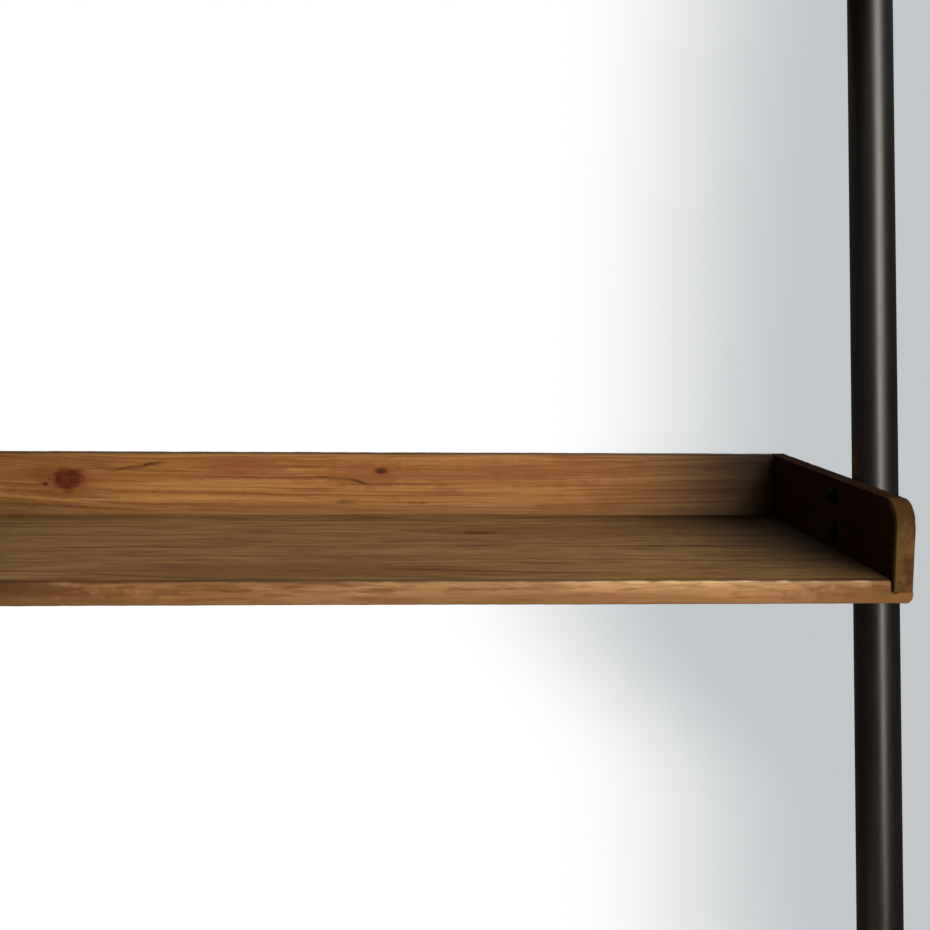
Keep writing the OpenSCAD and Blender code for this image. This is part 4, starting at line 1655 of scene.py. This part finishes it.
@dataclass(frozen=True)
class FootStems:
    """The stems of the feet: a ball, a neck, a hexagon for a spanner and a cut thread.

    The chamfer is a share of the way from the hexagon's flats to its corners, the ridge is the
    reach of the thread's triangle in pitches, and the sunk part of that is inside the core.
    """

    ball: float = 6.5 * MM
    neck: float = 3.5 * MM
    neck_length: float = 9.0 * MM
    across: float = 14.0 * MM
    hexagon: float = 7.0 * MM
    chamfer: float = 0.8
    thread: float = 5.0 * MM
    pitch: float = 1.5 * MM
    ridge: float = 0.56
    sunk: float = 1.45
    winding_steps: int = 36
    length: float = 45.0 * MM
    run_in: float = 0.9 * MM
    run_out: float = 2.5 * MM
    tip_round: Rounding = Rounding(0.6 * MM, 2)
    overlap: float = 0.5 * MM

    def build(self) -> None:
        """Builds the stem once, upright, and puts a copy in each foot."""
        corner = self.across / math.sqrt(3)
        foot = Vector((0, 0, self.neck_length))
        stem = Workpiece.turned(
            "foot_stem", (corner, corner), self.hexagon, foot, 6, math.radians(30)
        )
        stem.cut(self._blank(corner, foot), Cut.INSIDE)
        stem.join(*self._ball_and_neck(), *self._threaded_rod(foot.z + self.hexagon))
        finish = ZINC_STEEL.paint("zinc_thread")
        joints = {joint["name"]: joint for joint in frame["joints"]}
        for side in Side:
            centre = joints[f"{side.word}_pad_swivel"]["pos_m"]
            up = -Vector(joints[f"{side.word}_foot_adjust"]["axis"])
            lean = (math.atan2(-up.y, up.z), 0.0, 0.0)
            copy = stem.copy(f"{side.word}_threaded_stem", centre, lean)
            copy.finish(f"{side.word}_stem", "zinc_steel", finish, f"{side.word}_foot_stem")
        bpy.data.objects.remove(stem.piece)

    def _blank(self, corner: float, foot: Vector) -> Workpiece:
        """Makes the round blank that the hexagon's corners are chamfered to.

        Args:
            corner: The radius to the hexagon's corners.
            foot: The middle of its lower end.

        Returns:
            The blank.
        """
        chamfer = Rounding((corner - self.across / 2) * self.chamfer, 1)
        blank = Workpiece.turned("blank", (corner, corner), self.hexagon, foot, 60)
        blank.bevel(edges_at(z=(foot.z, foot.z + self.hexagon)), chamfer)
        return blank

    def _ball_and_neck(self) -> tuple[Workpiece, Workpiece]:
        """Makes the ball, and the neck that is drawn out of its top.

        Returns:
            The ball and the neck.
        """
        add = bpy.ops.mesh.primitive_uv_sphere_add
        ball = Workpiece.start("ball", add, segments=32, ring_count=20, radius=self.ball)
        reach = self.neck_length + self.overlap
        return ball, Workpiece.turned("neck", (self.neck, self.neck), reach, Vector())

    def _threaded_rod(self, foot: float) -> tuple[Workpiece, Workpiece]:
        """Makes the rod's core and the thread that winds up it.

        Args:
            foot: The height at which the rod leaves the hexagon.

        Returns:
            The core and the thread.
        """
        size = self.pitch * self.ridge
        core = self.thread - self.sunk * size
        start = Vector((0, 0, foot - self.overlap))
        rod = Workpiece.turned("core", (core, core), self.length + self.overlap, start, 48)
        rod.bevel(edges_at(z=(foot + self.length,)), self.tip_round)
        pointing_out = (math.radians(90), math.radians(90), 0)
        thread = Workpiece.start(
            "thread",
            bpy.ops.mesh.primitive_circle_add,
            vertices=3,
            radius=size,
            location=(self.thread - size, 0, foot + self.run_in),
            rotation=pointing_out,
        )
        thread.modify(
            "SCREW",
            axis="Z",
            screw_offset=self.pitch,
            iterations=int((self.length - self.run_out) / self.pitch),
            steps=self.winding_steps,
            render_steps=self.winding_steps,
            use_smooth_shade=False,
        )
        thread.close_ends()
        return rod, thread


# ---- Parts that keep their shapes ----


@dataclass(frozen=True)
class Hardware:
    """The metal, plastic, rubber and beech parts that get one finish."""

    finish: BronzeCoat | Plain | Beech
    name: str
    single: tuple[str, ...] = ()
    paired: tuple[str, ...] = ()

    def dress(self) -> None:
        """Gives every one of the parts the finish."""
        material = self.finish.paint(self.name)
        pairs = (f"{side.word}_{part}" for part in self.paired for side in Side)
        for node in (*self.single, *pairs):
            materials = frame["nodes"][node].data.materials
            materials.clear()
            materials.append(material)
            log.info("%s: %s", node, self.name)


PLASTIC_PAIRS = ("top_cap", "tray_saddles", "foot_insert", "foot_pad")
STEEL_PARTS = ("tray_bolts", "bolt_washers", "bracket_bolts", "bracket_washers")
HARDWARE = (
    Hardware(BronzeCoat(), "dark_bronze_coat", paired=("post", "wall_bracket")),
    Hardware(BLACK_PLASTIC, "moulded_black", ("bracket_saddles",), PLASTIC_PAIRS),
    Hardware(BLACK_STEEL, "blackened_steel", STEEL_PARTS),
    Hardware(ZINC_STEEL, "zinc_plate", ("rivet_nuts", "wood_screws"), ("lock_nut",)),
    Hardware(SOLE_RUBBER, "sole_rubber_finish", paired=("foot_sole",)),
    Hardware(Beech(), "beech", ("dowels",)),
)


# ---- The studio ----


@dataclass(frozen=True)
class SoftBox:
    """A broad soft lamp, placed round the ladder."""

    name: str
    bearing: float
    height: float
    width: float
    tall: float
    power: float
    distance: float = 2.4
    aim: Size = (0.3, 0.0, 0.8)

    def hang(self) -> None:
        """Hangs the lamp at its bearing from straight ahead, turned to what it lights."""
        lamp = bpy.data.lights.new(self.name, "AREA")
        lamp.shape = "RECTANGLE"
        lamp.size, lamp.size_y = self.width, self.tall
        lamp.energy = self.power
        light = bpy.data.objects.new(self.name, lamp)
        bpy.context.scene.collection.objects.link(light)
        target = Vector(self.aim)
        angle = math.radians(self.bearing)
        light.location = target + self.distance * Vector((math.sin(angle), -math.cos(angle), 0.0))
        light.location.z = self.height
        light.rotation_euler = (target - light.location).to_track_quat("-Z", "Y").to_euler()


@dataclass(frozen=True)
class Studio:
    """A pale floor, soft light from the front right, and the camera.

    The eye's offset is from the second tray's right front lower corner, and the turn, dip and
    roll are in degrees.
    """

    floor_reach: Pair = (1.5, 1.15)
    floor_middle: Pair = (0.0, -0.4)
    floor_drop: float = 0.5 * MM
    floor_glow: float = 0.22
    lamps: tuple[SoftBox, ...] = (
        SoftBox("key", 24.0, 2.3, 1.3, 1.6, 40.0),
        SoftBox("strip", 10.5, 1.1, 0.44, 1.45, 21.5),
        SoftBox("back", 180.0, 3.4, 1.8, 1.2, 13.0, distance=1.7),
    )
    ambient: float = 0.38
    from_sides: float = 0.18
    eye_offset: Size = (-0.398, -0.9909, 0.217)
    turn: float = 3.577
    dip: float = 6.527
    roll: float = 0.587
    lens: float = 53.54
    sensor: float = 36.0

    def build(self) -> None:
        """Sets up the floor, the light and the camera."""
        bpy.context.scene.view_settings.view_transform = "Standard"
        self._lay_floor()
        self._light_backdrop()
        for lamp in self.lamps:
            lamp.hang()
        self._place_camera()
        log.info("studio: floor, light and camera")

    def _lay_floor(self) -> None:
        """Lays a pale floor that fades out round the ladder."""
        deselect_all()
        bpy.ops.mesh.primitive_plane_add(size=2.0, location=(*self.floor_middle, -self.floor_drop))
        floor = bpy.context.object
        floor.name = "floor"
        floor.scale = (*self.floor_reach, 1.0)
        bpy.ops.object.transform_apply(location=True, rotation=True, scale=True)
        graph = Graph.of_material("pale_floor")
        here = graph.add("ShaderNodeTexCoord", {}).outputs["Object"]
        squeeze = tuple(1.0 / reach for reach in self.floor_reach)
        shift = tuple(-m / reach for m, reach in zip(self.floor_middle, self.floor_reach))
        spot = graph.vector("MULTIPLY_ADD", here, (*squeeze, 0.0), (*shift, 0.0))
        shade = graph.noise(here, (0.4, 0.4, 0.4), 2.0)
        seen = graph.add("ShaderNodeLightPath", {}).outputs["Is Camera Ray"]
        material = graph.finish(
            graph.mix(srgb(240, 240, 240), srgb(247, 247, 246), shade),
            roughness=0.9,
            Specular_IOR_Level=0.1,
            Alpha=graph.ramp(graph.length(spot), 0.98, 0.5),
            Emission_Strength=graph.product(seen, self.floor_glow),
        )
        floor.data.materials.append(material)

    def _light_backdrop(self) -> None:
        """Makes the backdrop white on the left and pale grey on the right, and the soft light."""
        world = bpy.data.worlds.new("studio")
        bpy.context.scene.world = world
        graph = Graph(world)
        direction = graph.add("ShaderNodeTexCoord", {}).outputs["Generated"]
        sideways, _, upward = graph.split(direction)
        low, high = graph.ramp(upward, -0.34, -0.2), graph.ramp(upward, -0.08, -0.2)
        grey_from = graph.plus(sideways, graph.product(low, high, 0.085))
        white = (1.0, 1.0, 1.0, 1.0)
        backdrop = graph.mix(white, srgb(195, 199, 201), graph.ramp(grey_from, 0.12, 0.305))
        # The soft light comes from overhead, and only a little of it from the sides
        overhead = graph.ramp(upward, 0.0, 0.9)
        level = graph.scaled(overhead, 1.0 - self.from_sides, self.from_sides)
        level = graph.product(level, self.ambient)
        seen = graph.add("ShaderNodeLightPath", {}).outputs["Is Camera Ray"]
        shown = graph.mix(graph.join(level, level, level), backdrop, seen)
        background = graph.add("ShaderNodeBackground", {"Color": shown, "Strength": 1.0})
        graph.add("ShaderNodeOutputWorld", {"Surface": background.outputs[0]})

    def _place_camera(self) -> None:
        """Puts the camera at its place off the second tray's right front lower corner."""
        deck = Box.of("tray_2_deck")
        corner = Vector((deck.high.x, deck.low.y, deck.low.z))
        turns = ((-self.turn, "Z"), (90.0 - self.dip, "X"), (self.roll, "Z"))
        facing = (Matrix.Rotation(math.radians(angle), 4, axis) for angle, axis in turns)
        camera = bpy.data.cameras.new("camera")
        camera.lens = self.lens
        camera.sensor_width = self.sensor
        camera.clip_start = 0.01
        eye = bpy.data.objects.new("camera", camera)
        bpy.context.scene.collection.objects.link(eye)
        place = Matrix.Translation(corner + Vector(self.eye_offset))
        eye.matrix_world = reduce(matmul, facing, place)
        bpy.context.scene.camera = eye


def main() -> None:
    """Builds the trays and the stems, dresses the other parts and sets up the studio."""
    logging.basicConfig(level=logging.INFO, format="%(name)s: %(message)s")
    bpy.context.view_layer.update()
    for number in range(1, 5):
        Tray(number, SECOND_TRAY_MARKS if number == 2 else {}).build()
    FootStems().build()
    for hardware in HARDWARE:
        hardware.dress()
    Studio().build()


if __name__ == "__main__":
    main()
